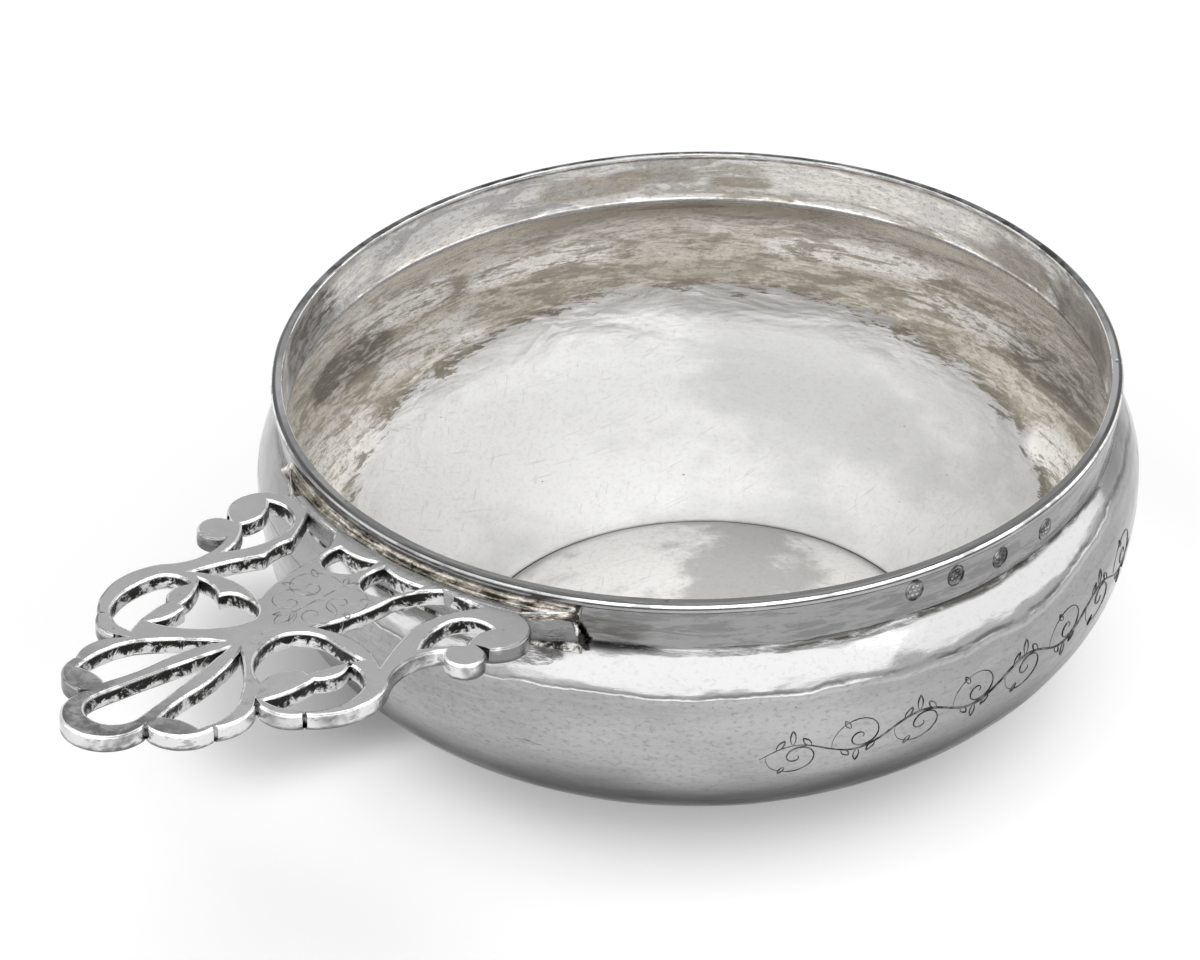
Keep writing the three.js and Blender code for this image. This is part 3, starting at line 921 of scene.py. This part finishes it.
# the other side's corners run backwards, and the corner that an arc now starts from gets its swelling
def mirrored(corners):
    turned = []
    for index in reversed(range(len(corners))):
        reach, aside = corners[index][:2]
        turned.append([reach, -aside, corners[index - 1][2]])
    return turned


def arcLoop(corners, step):
    points = []
    for index, corner in enumerate(corners):
        points += arcTo(corner, corners[(index + 1) % len(corners)], step)
    return points


def strayed(corners, moves, added=()):
    moved = [list(corner) for corner in corners]
    for index, further, aside, *swell in moves:
        moved[index][0] += further
        moved[index][1] += aside
        moved[index][2:] = swell or moved[index][2:]
    for index, corner in added:
        moved.insert(index + 1, list(corner))
    return moved


# the saw and file leave an outline a little uneven
def wavered(points, amount, seed):
    moved = []
    for point in points:
        spot = Vector((point.x * 0.45, point.y * 0.45, seed))
        moved.append(point + Vector((noise.noise(spot), noise.noise(spot + Vector((31, 17, 5))))) * amount)
    return moved


def sideCorners():
    side, near, far = handle["side"], handle["strayNear"], handle["strayFar"]
    return strayed(side, near["side"]) + mirrored(strayed(side, far["side"]))


def handleOutlines():
    size = handle
    near, far, added = size["strayNear"], size["strayFar"], size["addedFar"]
    corners = sideCorners()
    outline = []
    for index in range(len(corners) - 1):
        outline += arcTo(corners[index], corners[index + 1], size["step"])
    outline.append(Vector(corners[-1][:2]))
    for k in range(25):
        angle = radians(size["rootAngle"] * (2 * k / 24 - 1))
        outline.append(Vector((size["rootRadius"] * cos(angle), size["rootRadius"] * sin(angle))))
    holes = [arcLoop(size["drop"], size["step"])]
    for name, corners in size["pairs"].items():
        holes.append(arcLoop(strayed(corners, near[name]), size["step"]))
        holes.append(arcLoop(mirrored(strayed(corners, far[name], added.get(name, ()))), size["step"]))
    return [wavered(points, size["waver"], seed * 3.7) for seed, points in enumerate([outline] + holes)]


# from the drawing's plane, its top at nought, to the tilted plate
def onPlate(place):
    hinge = Vector((-handle["lipReach"] * mm, 0, 0))
    tilt = Quaternion((0, 1, 0), radians(handle["tilt"]))
    return tilt @ (place - hinge) + hinge + Vector((axisX, 0, handle["top"] * mm))


# three-sided files held upright against the outer edge, deeper at the top
def makeNickCutter():
    halfWidth, deepTop, deepLow = handle["nick"]
    corners = sideCorners()
    cutters = []
    for index in range(1, len(corners) - 1):
        if corners[index - 1][2] <= 0 or corners[index][2] <= 0:
            continue
        here = Vector(corners[index][:2])
        arriving = (here - arcTo(corners[index - 1], corners[index], 0.3)[-1]).normalized()
        leaving = (arcTo(corners[index], corners[index + 1], 0.3)[1] - here).normalized()
        turned = arriving + leaving
        inward = Vector((turned.y, -turned.x)).normalized()
        aside = Vector((-inward.y, inward.x))
        depth = 0.75 + 0.25 * noise.noise(Vector((index * 1.7, 3.1, 0.4)))
        putDown()
        bpy.ops.mesh.primitive_cylinder_add(vertices=3, radius=1, depth=handle["thick"] + 1)
        cutter = bpy.context.object
        for vertex in cutter.data.vertices:
            if vertex.co.y > 0.5:
                place = here + inward * (deepTop if vertex.co.z > 0 else deepLow) * depth
            else:
                place = here - inward * 0.8 + aside * halfWidth * 1.4 * (1 if vertex.co.x > 0 else -1)
            vertex.co = (-place.x * mm, -place.y * mm, vertex.co.z * mm)
        cutters.append(cutter)
    obj = joinPieces(cutters)
    cleanUp(obj, 0.001 * mm)
    return obj


def makeHandle():
    size = handle
    outlines = handleOutlines()
    lines = [[(-point.x * mm, -point.y * mm, 0) for point in points] for points in outlines]
    curve = drawLines("piercedHandle", lines, closed=True, flat=True)
    curve.data.fill_mode = "BOTH"
    curve.data.extrude = (size["thick"] / 2 - size["edge"]) * mm
    curve.data.bevel_depth = size["edge"] * mm
    curve.data.offset = -size["edge"] * mm
    curve.data.bevel_resolution = 2
    obj = makeMesh(curve)
    cleanUp(obj, 0.002 * mm)
    settle(obj)
    files = makeNickCutter()
    nicked = obj.modifiers.new("fileNicks", "BOOLEAN")
    nicked.operation = "DIFFERENCE"
    nicked.object = files
    applyModifiers(obj)
    takeUp(files)
    bpy.ops.object.delete()
    cleanUp(obj, 0.002 * mm)

    # top, rims of the piercings, their walls, and the outer edge that was filed round
    tree = KDTree(sum(len(points) for points in lines))
    for number, points in enumerate(lines):
        for point in points:
            tree.insert(point, number)
    tree.balance()
    softWall = set()
    for face in obj.data.polygons:
        tall = abs(face.normal.z)
        outer = tree.find((face.center.x, face.center.y, 0))[1] == 0
        if tall > 0.97:
            face.material_index = 0
        elif outer:
            face.material_index = 3
        else:
            face.material_index = 1 if tall > 0.12 else 2
        if outer and tall < 0.12:
            softWall.update(face.vertices)
    for vertex in obj.data.vertices:
        vertex.co = onPlate(vertex.co - Vector((0, 0, size["thick"] / 2 * mm)))
    smoothByAngle(obj, 35)
    flat = obj.vertex_groups.new(name="flatFaces")
    flat.add([vertex.index for vertex in obj.data.vertices if vertex.index not in softWall], 1.0, "REPLACE")
    even = obj.modifiers.new("evenFaces", "WEIGHTED_NORMAL")
    even.keep_sharp = True
    even.vertex_group = "flatFaces"
    applyModifiers(obj)
    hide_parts("handle")
    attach(obj, "root")
    print("handle made", len(obj.data.polygons))
    return obj


# reach from the bowl's middle line and depth under the plate's top, in millimetres
def platePlace(tree):
    parts = node(tree, "SeparateXYZ", {0: objectPlace(tree)})
    reach = times(tree, parts.outputs[0], -1000)
    rise = times(tree, minus(tree, reach, handle["lipReach"]), sin(radians(handle["tilt"])))
    level = plus(tree, rise, handle["top"])
    return reach, minus(tree, level, times(tree, parts.outputs[2], 1000))


def handleSilver():
    material, tree, shader = newMaterial("satinHandle")
    place = objectPlace(tree)
    reach = platePlace(tree)[0]
    soft = cloud(tree, place, 40, 4, 0.5)
    fine = cloud(tree, place, 600, 4, 0.6)
    mottled = cloud(tree, place, 330, 6, 0.7, 0.3)
    colour = blendColours(tree, fade(tree, soft, 0.35, 0.65), grey(0.345), grey(0.39))
    # painted darker reflection on the lobes towards the tip, broken by mottling
    tipShade = times(tree, fade(tree, reach, 108, 125), fade(tree, mottled, 0.38, 0.58, 0.3, 1.0))
    colour = tinted(tree, colour, times(tree, tipShade, 0.8), 0.06)
    stained = times(tree, fade(tree, soft, 0.54, 0.66), fade(tree, mottled, 0.5, 0.66))
    colour = tinted(tree, colour, times(tree, stained, 0.4), 0.15)
    spots = pits(tree, place, 240, 0.08)
    colour = tinted(tree, colour, times(tree, spots, 0.7), 0.08)
    lines = scratches(tree, 30, 150, 0.66)
    colour = tinted(tree, colour, times(tree, lines, 0.3), 0.12)
    finishMetal(tree, shader, colour, fade(tree, fine, 0.3, 0.7, 0.2, 0.28))
    ridges(tree, [(soft, 0.0003), (fine, 0.000003), (spots, -0.00002), (lines, -0.000008)], shader)
    return material


def rimSilver():
    material, tree, shader = newMaterial("rubbedRim")
    place = objectPlace(tree)
    wearAndShade = cloud(tree, place, 260, 5, 0.65)
    gaps = cloud(tree, place, 110, 3, 0.5)
    colour = blendColours(tree, fade(tree, wearAndShade, 0.34, 0.5), grey(0.22), grey(0.62))
    colour = tinted(tree, colour, fade(tree, gaps, 0.54, 0.62, 0.0, 0.8), 0.2)
    finishMetal(tree, shader, colour, 0.16)
    ridges(tree, [(wearAndShade, 0.0003)], shader)
    return material


def castWall():
    material, tree, shader = newMaterial("roughPiercing")
    depth = platePlace(tree)[1]
    lumps = cloud(tree, objectPlace(tree), 430, 8, 0.75, 0.5)
    # painted reflection: the walls are lighter towards their lower edge
    light = plus(tree, lumps, fade(tree, depth, 0.6, 2.4, -0.04, 0.09))
    colour = blendColours(tree, fade(tree, light, 0.49, 0.59), grey(0.015, 0.06), grey(0.72))
    finishMetal(tree, shader, colour, 0.3)
    ridges(tree, [(lumps, 0.0007)], shader)
    return material


def outerEdge():
    material, tree, shader = newMaterial("filedOuterEdge")
    depth = platePlace(tree)[1]
    place = objectPlace(tree)
    soft = cloud(tree, place, 75, 4, 0.55, 0.5)
    streaks = cloud(tree, objectPlace(tree, scale=(1, 1, 3)), 420, 5, 0.65)
    colour = blendColours(tree, fade(tree, soft, 0.42, 0.56), grey(0.22), grey(0.7))
    # painted shade on the lower part of the outer edge, reaching higher on the far side
    farSide = node(tree, "SeparateXYZ", {0: place}).outputs[1]
    start = plus(tree, depth, fade(tree, farSide, 0.0, 0.016, 0.0, 1.1))
    under = fade(tree, plus(tree, start, swing(tree, streaks, 1.4)), 1.8, 2.4)
    colour = tinted(tree, colour, times(tree, under, 0.9), 0.1)
    colour = tinted(tree, colour, fade(tree, streaks, 0.56, 0.64, 0.0, 0.5), 0.1, 0.02)
    finishMetal(tree, shader, colour, 0.15)
    ridges(tree, [(soft, 0.0006), (streaks, 0.0001)], shader)
    return material


handlePiece = makeHandle()
rubbedRim = rimSilver()
for material in (handleSilver(), rubbedRim, castWall(), outerEdge()):
    handlePiece.data.materials.append(material)


# flange: the moulding that the plate grows out of, a sector of a turned ring, hollow on top
flange = dict(
    radius=68.05,
    inner=64.3,
    top=50.3,
    plateTop=51.1,
    plateUnder=48.5,
    coveRadius=66.3,
    footRadius=65.5,
    footHeight=44.6,
    plateAngle=20.0,
    endAngle=27.5,
    endThick=0.55,
    endLean=0.055,         # how far each end leans back at its top, as a share of its angle
    endHeight=6,
    steps=150,
    waver=0.05,
)


# turns a section drawn over +X round the bowl's middle line, through the handle's side
def turnSector(obj, halfAngle, steps):
    takeUp(obj)
    for vertex in obj.data.vertices:
        out, up = vertex.co.x, vertex.co.z
        start = pi - radians(halfAngle)
        vertex.co = (axisX + out * cos(start), out * sin(start), up)
    bpy.ops.object.mode_set(mode="EDIT")
    bpy.ops.mesh.select_all(action="SELECT")
    bpy.ops.mesh.spin(steps=steps, angle=-radians(2 * halfAngle), center=(axisX, 0, 0), axis=(0, 0, 1))
    bpy.ops.mesh.select_all(action="SELECT")
    bpy.ops.mesh.fill_holes(sides=0)
    bpy.ops.object.mode_set(mode="OBJECT")
    cleanUp(obj, 0.002 * mm)


def flangeSection():
    size = flange
    outer, inner, top = size["radius"], size["inner"], size["top"]
    plateTop, plateUnder = size["plateTop"], size["plateUnder"]
    foot = (size["footRadius"], size["footHeight"])
    cove = (size["coveRadius"], top + 0.05)
    back = (inner - 0.25, foot[1] + 0.9)
    section = straight((inner, top), back, 6)
    section += bend(back, (inner + 0.3, foot[1] + 0.4), (foot[0] - 0.6, foot[1] + 0.1), foot, 4)
    section += bend(foot, (foot[0] + 0.9, foot[1] + 0.9),
                    (outer - 0.4, plateUnder - 1.4), (outer, plateUnder), 10)
    section += straight((outer, plateUnder), (outer, plateTop - 0.35), 4)
    section += bend((outer, plateTop - 0.35), (outer, plateTop - 0.05),
                    (outer - 0.1, plateTop + 0.03), (outer - 0.4, plateTop), 4)
    section += bend((outer - 0.4, plateTop), (outer - 0.8, plateTop - 0.55),
                    (cove[0] + 0.35, top + 0.02), cove, 8)
    return section + straight(cove, (inner, top), 4)


def makeFlange():
    size = flange
    section = [(out * mm, 0, up * mm) for out, up in flangeSection()]
    obj = makeMesh(drawLines("handleFlange", [section], closed=True))
    turnSector(obj, size["endAngle"], size["steps"])
    inner, wide = size["inner"], size["radius"] - size["inner"]
    thin = bowl["lipRadius"] + size["endThick"] - inner
    for vertex in obj.data.vertices:
        east, north = vertex.co.x - axisX, vertex.co.y
        out, turn = hypot(east, north) / mm, degrees(atan2(north, -east))
        past = (abs(turn) - size["plateAngle"]) / (size["endAngle"] - size["plateAngle"])
        if past > 0:
            rise = vertex.co.z / mm - size["footHeight"]
            turn *= 1 - size["endLean"] * past * rise / size["endHeight"]
            out = inner + (out - inner) * (wide * (1 - past) + thin * past) / wide
        spot = Vector((turn * 0.5, out * 0.9, vertex.co.z / mm * 0.9))
        out += noise.noise(spot) * size["waver"]
        vertex.co.x = axisX - out * mm * cos(radians(turn))
        vertex.co.y = out * mm * sin(radians(turn))
    settle(obj)
    # the arris along the top of each end is rubbed bright
    leastTurn, leastHeight = size["plateAngle"] + 0.4, size["plateTop"] - 0.42
    leastOut = bowl["lipRadius"] + 0.3 - size["endThick"]
    for face in obj.data.polygons:
        centre = face.center
        out, up = hypot(centre.x - axisX, centre.y) / mm, centre.z / mm
        turn = abs(degrees(atan2(centre.y, axisX - centre.x)))
        onEnd = turn > leastTurn and up > leastHeight and out > leastOut
        if onEnd and 0.1 < face.normal.z < 0.97:
            face.material_index = 1
    smoothByAngle(obj, 38)
    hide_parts("handle")
    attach(obj, "root")
    print("flange made", len(obj.data.polygons))
    return obj


# brown and cream streaks that run round with the moulding
def tarnish(tree, out, up):
    wavy = cloud(tree, objectPlace(tree), 55, 4, 0.6)
    bands = node(tree, "CombineXYZ", {0: out, 1: up, 2: times(tree, wavy, 3.0)})
    streaks = cloud(tree, bands.outputs[0], 2.1, 5, 0.7, 0.3)
    lumps = cloud(tree, objectPlace(tree), 320, 6, 0.7, 0.3)
    tone = mixTwo(tree, streaks, lumps, 0.65)
    colour = blendColours(tree, fade(tree, tone, 0.42, 0.50), grey(0.015, 0.16), grey(0.2, 0.1))
    return blendColours(tree, fade(tree, tone, 0.50, 0.60), colour, grey(0.6, 0.045)), streaks, lumps


def tarnishedFlange():
    material, tree, shader = newMaterial("tarnishedFlange")
    out, up, way = roundPlace(tree)
    stained, streaks, lumps = tarnish(tree, out, up)
    wavy = cloud(tree, objectPlace(tree), 50, 4, 0.6)
    cove = times(tree, fade(tree, out, 67.5, 67.9, 1.0, 0.0), fade(tree, up, 49.6, 50.1))
    plain = blendColours(tree, fade(tree, wavy, 0.4, 0.6), grey(0.2), grey(0.34))
    # darker in lumps towards its foot
    darkerLow = times(tree, fade(tree, up, 44.6, 46.6, 1.0, 0.0), fade(tree, lumps, 0.4, 0.6))
    plain = tinted(tree, plain, times(tree, darkerLow, 0.85), 0.03, 0.1)
    colour = blendColours(tree, cove, plain, stained)
    finishMetal(tree, shader, colour, fade(tree, lumps, 0.35, 0.65, 0.2, 0.4))
    ridges(tree, [(streaks, 0.0003), (lumps, 0.0002)], shader)
    return material


flangePiece = makeFlange()
flangePiece.data.materials.append(tarnishedFlange())
flangePiece.data.materials.append(rubbedRim)


# solder: a fillet above and below the flange and a ragged bead up each of its ends, run together
solder = dict(
    voxel=0.14 * mm,
    rough=0.13,
    halfAngle=27.3,
    # sections round the flange, each a list of distance out and height
    fillets=[
        [(64.3, 50.1), (64.3, 51.55), (64.85, 51.6), (65.25, 51.0),
         (65.9, 50.6), (66.6, 50.5), (66.5, 50.1)],
        [(64.5, 44.3), (64.6, 45.7), (65.2, 45.6), (66.1, 45.1), (66.2, 44.55), (65.4, 44.1)],
    ],
    # lumps of the end beads: turn, distance out, height, half sizes round, out and up
    lumps=[
        (25.2, 65.0, 50.5, 0.9, 0.45, 0.5),
        (25.9, 64.9, 49.8, 0.55, 0.4, 0.7),
        (26.1, 65.0, 48.9, 0.5, 0.4, 0.6),
        (26.6, 64.8, 48.2, 0.45, 0.4, 0.6),
        (26.9, 65.0, 47.4, 0.55, 0.45, 0.7),
        (27.3, 64.8, 46.5, 0.6, 0.4, 0.6),
        (27.4, 65.0, 45.6, 0.6, 0.5, 0.6),
        (27.9, 64.9, 44.9, 0.6, 0.45, 0.45),
        (-26.9, 65.0, 50.4, 1.1, 0.5, 0.8),
        (-27.6, 64.9, 49.0, 0.7, 0.5, 1.0),
        (-27.2, 65.0, 47.6, 0.8, 0.5, 0.9),
        (-27.9, 64.9, 46.3, 0.7, 0.5, 0.9),
        (-27.3, 65.1, 45.0, 0.9, 0.6, 0.8),
    ],
)


def makeSolder():
    size = solder
    parts = []
    for section in size["fillets"]:
        corners = [(out * mm, 0, up * mm) for out, up in section]
        part = makeMesh(drawLines("fillet", [corners], closed=True))
        turnSector(part, size["halfAngle"], 120)
        parts.append(part)
    for turn, out, up, around, outward, upward in size["lumps"]:
        putDown()
        bpy.ops.mesh.primitive_ico_sphere_add(subdivisions=3, radius=1)
        lump = bpy.context.object
        angle = pi + radians(turn)
        for vertex in lump.data.vertices:
            reach, side = out + vertex.co.x * outward, vertex.co.y * around
            east = reach * cos(angle) - side * sin(angle)
            north = reach * sin(angle) + side * cos(angle)
            vertex.co = (axisX + east * mm, north * mm, (up + vertex.co.z * upward) * mm)
        parts.append(lump)
    obj = joinPieces(parts)
    obj.name = "solderBead"
    settle(obj)
    remesh = obj.modifiers.new("melt", "REMESH")
    remesh.mode = "VOXEL"
    remesh.voxel_size = size["voxel"]
    settleDown = obj.modifiers.new("settleDown", "SMOOTH")
    settleDown.factor = 0.5
    settleDown.iterations = 2
    applyModifiers(obj)
    normals = [vertex.normal.copy() for vertex in obj.data.vertices]
    for vertex, normal in zip(obj.data.vertices, normals):
        spot = vertex.co / mm
        rough = noise.noise(spot * 0.9) * 0.6 + noise.noise(spot * 2.3) * 0.4
        vertex.co = vertex.co + normal * rough * size["rough"] * mm
    takeUp(obj)
    bpy.ops.object.shade_smooth()
    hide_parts("solder_seam")
    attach(obj, "root")
    print("solder made", len(obj.data.polygons))
    return obj


def solderMetal():
    material, tree, shader = newMaterial("dullSolder")
    out, up, way = roundPlace(tree)
    stained, streaks, lumps = tarnish(tree, out, up)
    handled = towards(tree, way, skin["handleSide"])
    end = fade(tree, handled, cos(radians(25.5)), cos(radians(27)))
    pitted = blendColours(tree, fade(tree, lumps, 0.44, 0.56), grey(0.03, 0.08), grey(0.7, 0.02))
    foot = fade(tree, up, 47.0, 47.6, 1.0, 0.0)
    colour = blendColours(tree, math(tree, "MAXIMUM", end, foot), stained, pitted)
    finishMetal(tree, shader, colour, 0.3)
    ridges(tree, [(streaks, 0.0003), (lumps, 0.0003)], shader)
    return material


solderPiece = makeSolder()
solderPiece.data.materials.append(solderMetal())


# engraving: fine lines that swell and end thin, let into the surface
engraving = dict(
    line=0.13,             # half width of a line at its thickest, millimetres
    stem=0.19,
    sprayLine=0.085,
    sunk=0.5,              # share of the line that lies under the surface
    # running scroll on the belly: bearing and height where it starts and ends
    beltStart=(-130, 26.6),
    beltEnd=(-62, 32.4),
    beltRadius=67.6,
    beltReach=68,          # the strokes are let down onto the belly from here
    waves=8,
    rise=1.9,
    leaf=2.6,
    # leaf spray on the handle's shield, from the reach of its foot to that of its top
    sprayFoot=76.0,
    sprayTop=90.5,
)


# a curl that leaves a stem and winds in round its own middle
def curl(start, centre, small, turns, count=44):
    points = []
    first = Vector(start) - Vector(centre)
    for k in range(count + 1):
        share = k / count
        radius = small + (first.length - small) * (1 - share) ** 1.5
        angle = atan2(first.y, first.x) + 2 * pi * turns * share
        points.append((centre[0] + radius * cos(angle), centre[1] + radius * sin(angle)))
    return points


def leafStroke(foot, heading, length, width):
    points = []
    ahead = Vector((cos(radians(heading)), sin(radians(heading))))
    aside = Vector((-ahead.y, ahead.x))
    for k in range(21):
        share = k / 20
        reach = 1 - abs(2 * share - 1)
        swell = width / 2 * sin(pi * reach) ** 0.8 * (1 if share < 0.5 else -1)
        place = Vector(foot) + ahead * length * reach + aside * swell
        points.append((place.x, place.y))
    return points


# strokes become one mesh of tapering lines, each point put where the surface is
def engrave(name, strokes, settlePoint, halfWidth):
    curve = drawLines(name, [[settlePoint(point) for point in points] for points in strokes], closed=False)
    for spline in curve.data.splines:
        last = len(spline.points) - 1
        for k, point in enumerate(spline.points):
            point.radius = 0.25 + 0.75 * sin(pi * k / last) ** 0.6
    curve.data.bevel_depth = halfWidth * mm
    curve.data.bevel_resolution = 1
    curve.data.use_fill_caps = True
    obj = makeMesh(curve)
    cleanUp(obj, 0.001 * mm)
    settle(obj)
    takeUp(obj)
    bpy.ops.object.shade_smooth()
    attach(obj, "root")
    return obj


def onBelly(point):
    size = engraving
    start, end, reach = size["beltStart"], size["beltEnd"], size["beltReach"] * mm
    share = point[0] / beltLength()
    around = radians(start[0] + (end[0] - start[0]) * share)
    height = start[1] + (end[1] - start[1]) * share + point[1]
    above = Vector((axisX + reach * cos(around), reach * sin(around), height * mm))
    place, normal = bowlPiece.closest_point_on_mesh(above)[1:3]
    return place + normal * size["line"] * (1 - 2 * size["sunk"]) * mm


def beltLength():
    return radians(engraving["beltEnd"][0] - engraving["beltStart"][0]) * engraving["beltRadius"]


def makeBellyScroll():
    size = engraving
    step = beltLength() / size["waves"]
    rise = size["rise"]
    points = 160
    shares = [size["waves"] * k / points for k in range(points + 1)]
    stem = [(step * share, rise * sin(pi * share)) for share in shares]
    thin = []
    for wave in range(size["waves"]):
        side = 1 if wave % 2 == 0 else -1
        middle = step * (wave + 0.5)
        foot = (step * (wave + 0.1), side * rise * sin(pi * 0.1))
        thin.append(curl(foot, (middle + 0.5, -side * 0.7), 0.3, side * 1.7))
        thin.append(leafStroke((middle - 1.2, -side * 2.9), -side * 120, size["leaf"] * 0.7, 0.7))
        for heading, share in ((55, 0.25), (90, 0.5), (125, 0.78)):
            foot = (step * (wave + share), side * rise * sin(pi * share))
            length = size["leaf"] * (1.15 if heading == 90 else 0.85)
            thin.append(leafStroke(foot, side * heading, length, 0.85))
    stemPiece = engrave("bellyScrollStem", [stem], onBelly, size["stem"])
    thinPiece = engrave("bellyScrollLeaves", thin, onBelly, size["line"])
    return stemPiece, thinPiece


def onShield(point):
    down = engraving["sprayLine"] * (1 - 2 * engraving["sunk"])
    return onPlate(Vector((-point[0] * mm, -point[1] * mm, down * mm)))


def makeShieldSpray():
    size = engraving
    foot, top = size["sprayFoot"], size["sprayTop"]
    strokes = [[(foot + (top - 3.4 - foot) * k / 20, 0) for k in range(21)]]
    strokes.append(leafStroke((top - 4.2, 0), 0, 4.2, 2.0))
    for side in (1, -1):
        strokes.append(curl((foot + 0.4, 0), (foot + 4.0, side * 3.2), 0.35, -side * 1.6))
        strokes.append(curl((foot + 5.6, 0), (foot + 8.9, side * 2.5), 0.3, -side * 1.5))
        strokes.append(leafStroke((foot + 1.4, side * 4.4), side * 118, 2.3, 0.9))
        strokes.append(leafStroke((foot + 5.2, side * 5.2), side * 62, 1.9, 0.8))
        strokes.append(leafStroke((top - 4.4, 0), side * 30, 3.4, 0.9))
        strokes.append(leafStroke((foot + 0.2, 0), side * 150, 2.2, 0.8))
    return engrave("shieldSpray", strokes, onShield, size["sprayLine"])


def engravedLine(name, dark, light):
    material, tree, shader = newMaterial(name)
    wearAndShade = cloud(tree, objectPlace(tree), 500, 4, 0.6)
    colour = blendColours(tree, fade(tree, wearAndShade, 0.4, 0.62), grey(dark), grey(light))
    finishMetal(tree, shader, colour, fade(tree, wearAndShade, 0.3, 0.7, 0.3, 0.45))
    return material


scrollPieces = makeBellyScroll()
sprayPiece = makeShieldSpray()
lineMaterial = engravedLine("engravedLine", 0.02, 0.15)
for piece in scrollPieces:
    piece.data.materials.append(lineMaterial)
sprayPiece.data.materials.append(engravedLine("faintLine", 0.12, 0.3))
print("engraving made")


# four small rosettes punched into the collar near the camera's right
rosettes = dict(
    places=[(-108.2, 49.7), (-101.7, 49.6), (-93.9, 48.9), (-84.7, 48.7)],
    half=(1.4, 1.75),      # across and up
    edge=0.15,
    ground=0.05,           # rise of the dark ground
    petals=6,
    petal=0.36,
    petalRing=0.78,
    collarRadius=64.5,
    turnEach=17,           # degrees from one rosette to the next
)


def onCollar(bearing, height):
    around = radians(bearing)
    reach = bowl["lipRadius"] * mm
    outside = Vector((axisX + reach * cos(around), reach * sin(around), height * mm))
    return bowlPiece.closest_point_on_mesh(outside)[1:3]


def makeRosette(bearing, height, turn):
    size = rosettes
    halfAcross, halfUp = size["half"]
    perDegree = radians(1) * size["collarRadius"]
    points = 40
    parts = []
    ring = []
    for k in range(points):
        angle = 2 * pi * k / points
        ring.append(onCollar(bearing + halfAcross * cos(angle) / perDegree, height + halfUp * sin(angle))[0])
    curve = drawLines("rosetteEdge", [ring], closed=True)
    curve.data.bevel_depth = size["edge"] * mm
    curve.data.bevel_resolution = 1
    parts.append(makeMesh(curve))

    # the ground is a flat lens with its equator in the ring
    middle, outward = onCollar(bearing, height)
    across = Vector((-outward.y, outward.x, 0)).normalized()
    upright = outward.cross(across)
    putDown()
    bpy.ops.mesh.primitive_uv_sphere_add(segments=points, ring_count=12, radius=1)
    ground = bpy.context.object
    for vertex in ground.data.vertices:
        spread = across * vertex.co.x * halfAcross + upright * vertex.co.y * halfUp
        vertex.co = middle + (spread + outward * vertex.co.z * size["ground"]) * mm
    ground.data.materials.append(None)
    ground.data.materials.append(None)
    for face in ground.data.polygons:
        face.material_index = 1
    parts.append(ground)
    for k in range(size["petals"] + 1):
        angle = radians(turn) + 2 * pi * k / size["petals"]
        reach = size["petalRing"] if k < size["petals"] else 0.0
        turned = bearing + reach * cos(angle) / perDegree
        place, normal = onCollar(turned, height + reach * 1.1 * sin(angle))
        putDown()
        bpy.ops.mesh.primitive_ico_sphere_add(subdivisions=2, radius=size["petal"] * mm)
        petal = bpy.context.object
        turnOut = Vector((0, 0, 1)).rotation_difference(normal)
        for vertex in petal.data.vertices:
            flatter = Vector((vertex.co.x, vertex.co.y, vertex.co.z * 0.7))
            vertex.co = turnOut @ flatter + place
        parts.append(petal)
    obj = joinPieces(parts)
    cleanUp(obj, 0.001 * mm)
    settle(obj)
    smoothByAngle(obj, 60)
    return obj


def makeRosettes():
    size = rosettes
    pieces = [makeRosette(*place, size["turnEach"] * k) for k, place in enumerate(size["places"])]
    obj = joinPieces(pieces)
    obj.name = "collarRosettes"
    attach(obj, "root")
    print("rosettes made", len(obj.data.polygons))
    return obj


def punchedSilver():
    material, tree, shader = newMaterial("punchedSilver")
    wearAndShade = cloud(tree, objectPlace(tree), 420, 4, 0.6)
    colour = blendColours(tree, fade(tree, wearAndShade, 0.42, 0.6), grey(0.07), grey(0.3))
    finishMetal(tree, shader, colour, 0.3)
    ridges(tree, [(wearAndShade, 0.0001)], shader)
    return material


rosettePiece = makeRosettes()
rosettePiece.data.materials.clear()
rosettePiece.data.materials.append(punchedSilver())
rosettePiece.data.materials.append(lineMaterial)
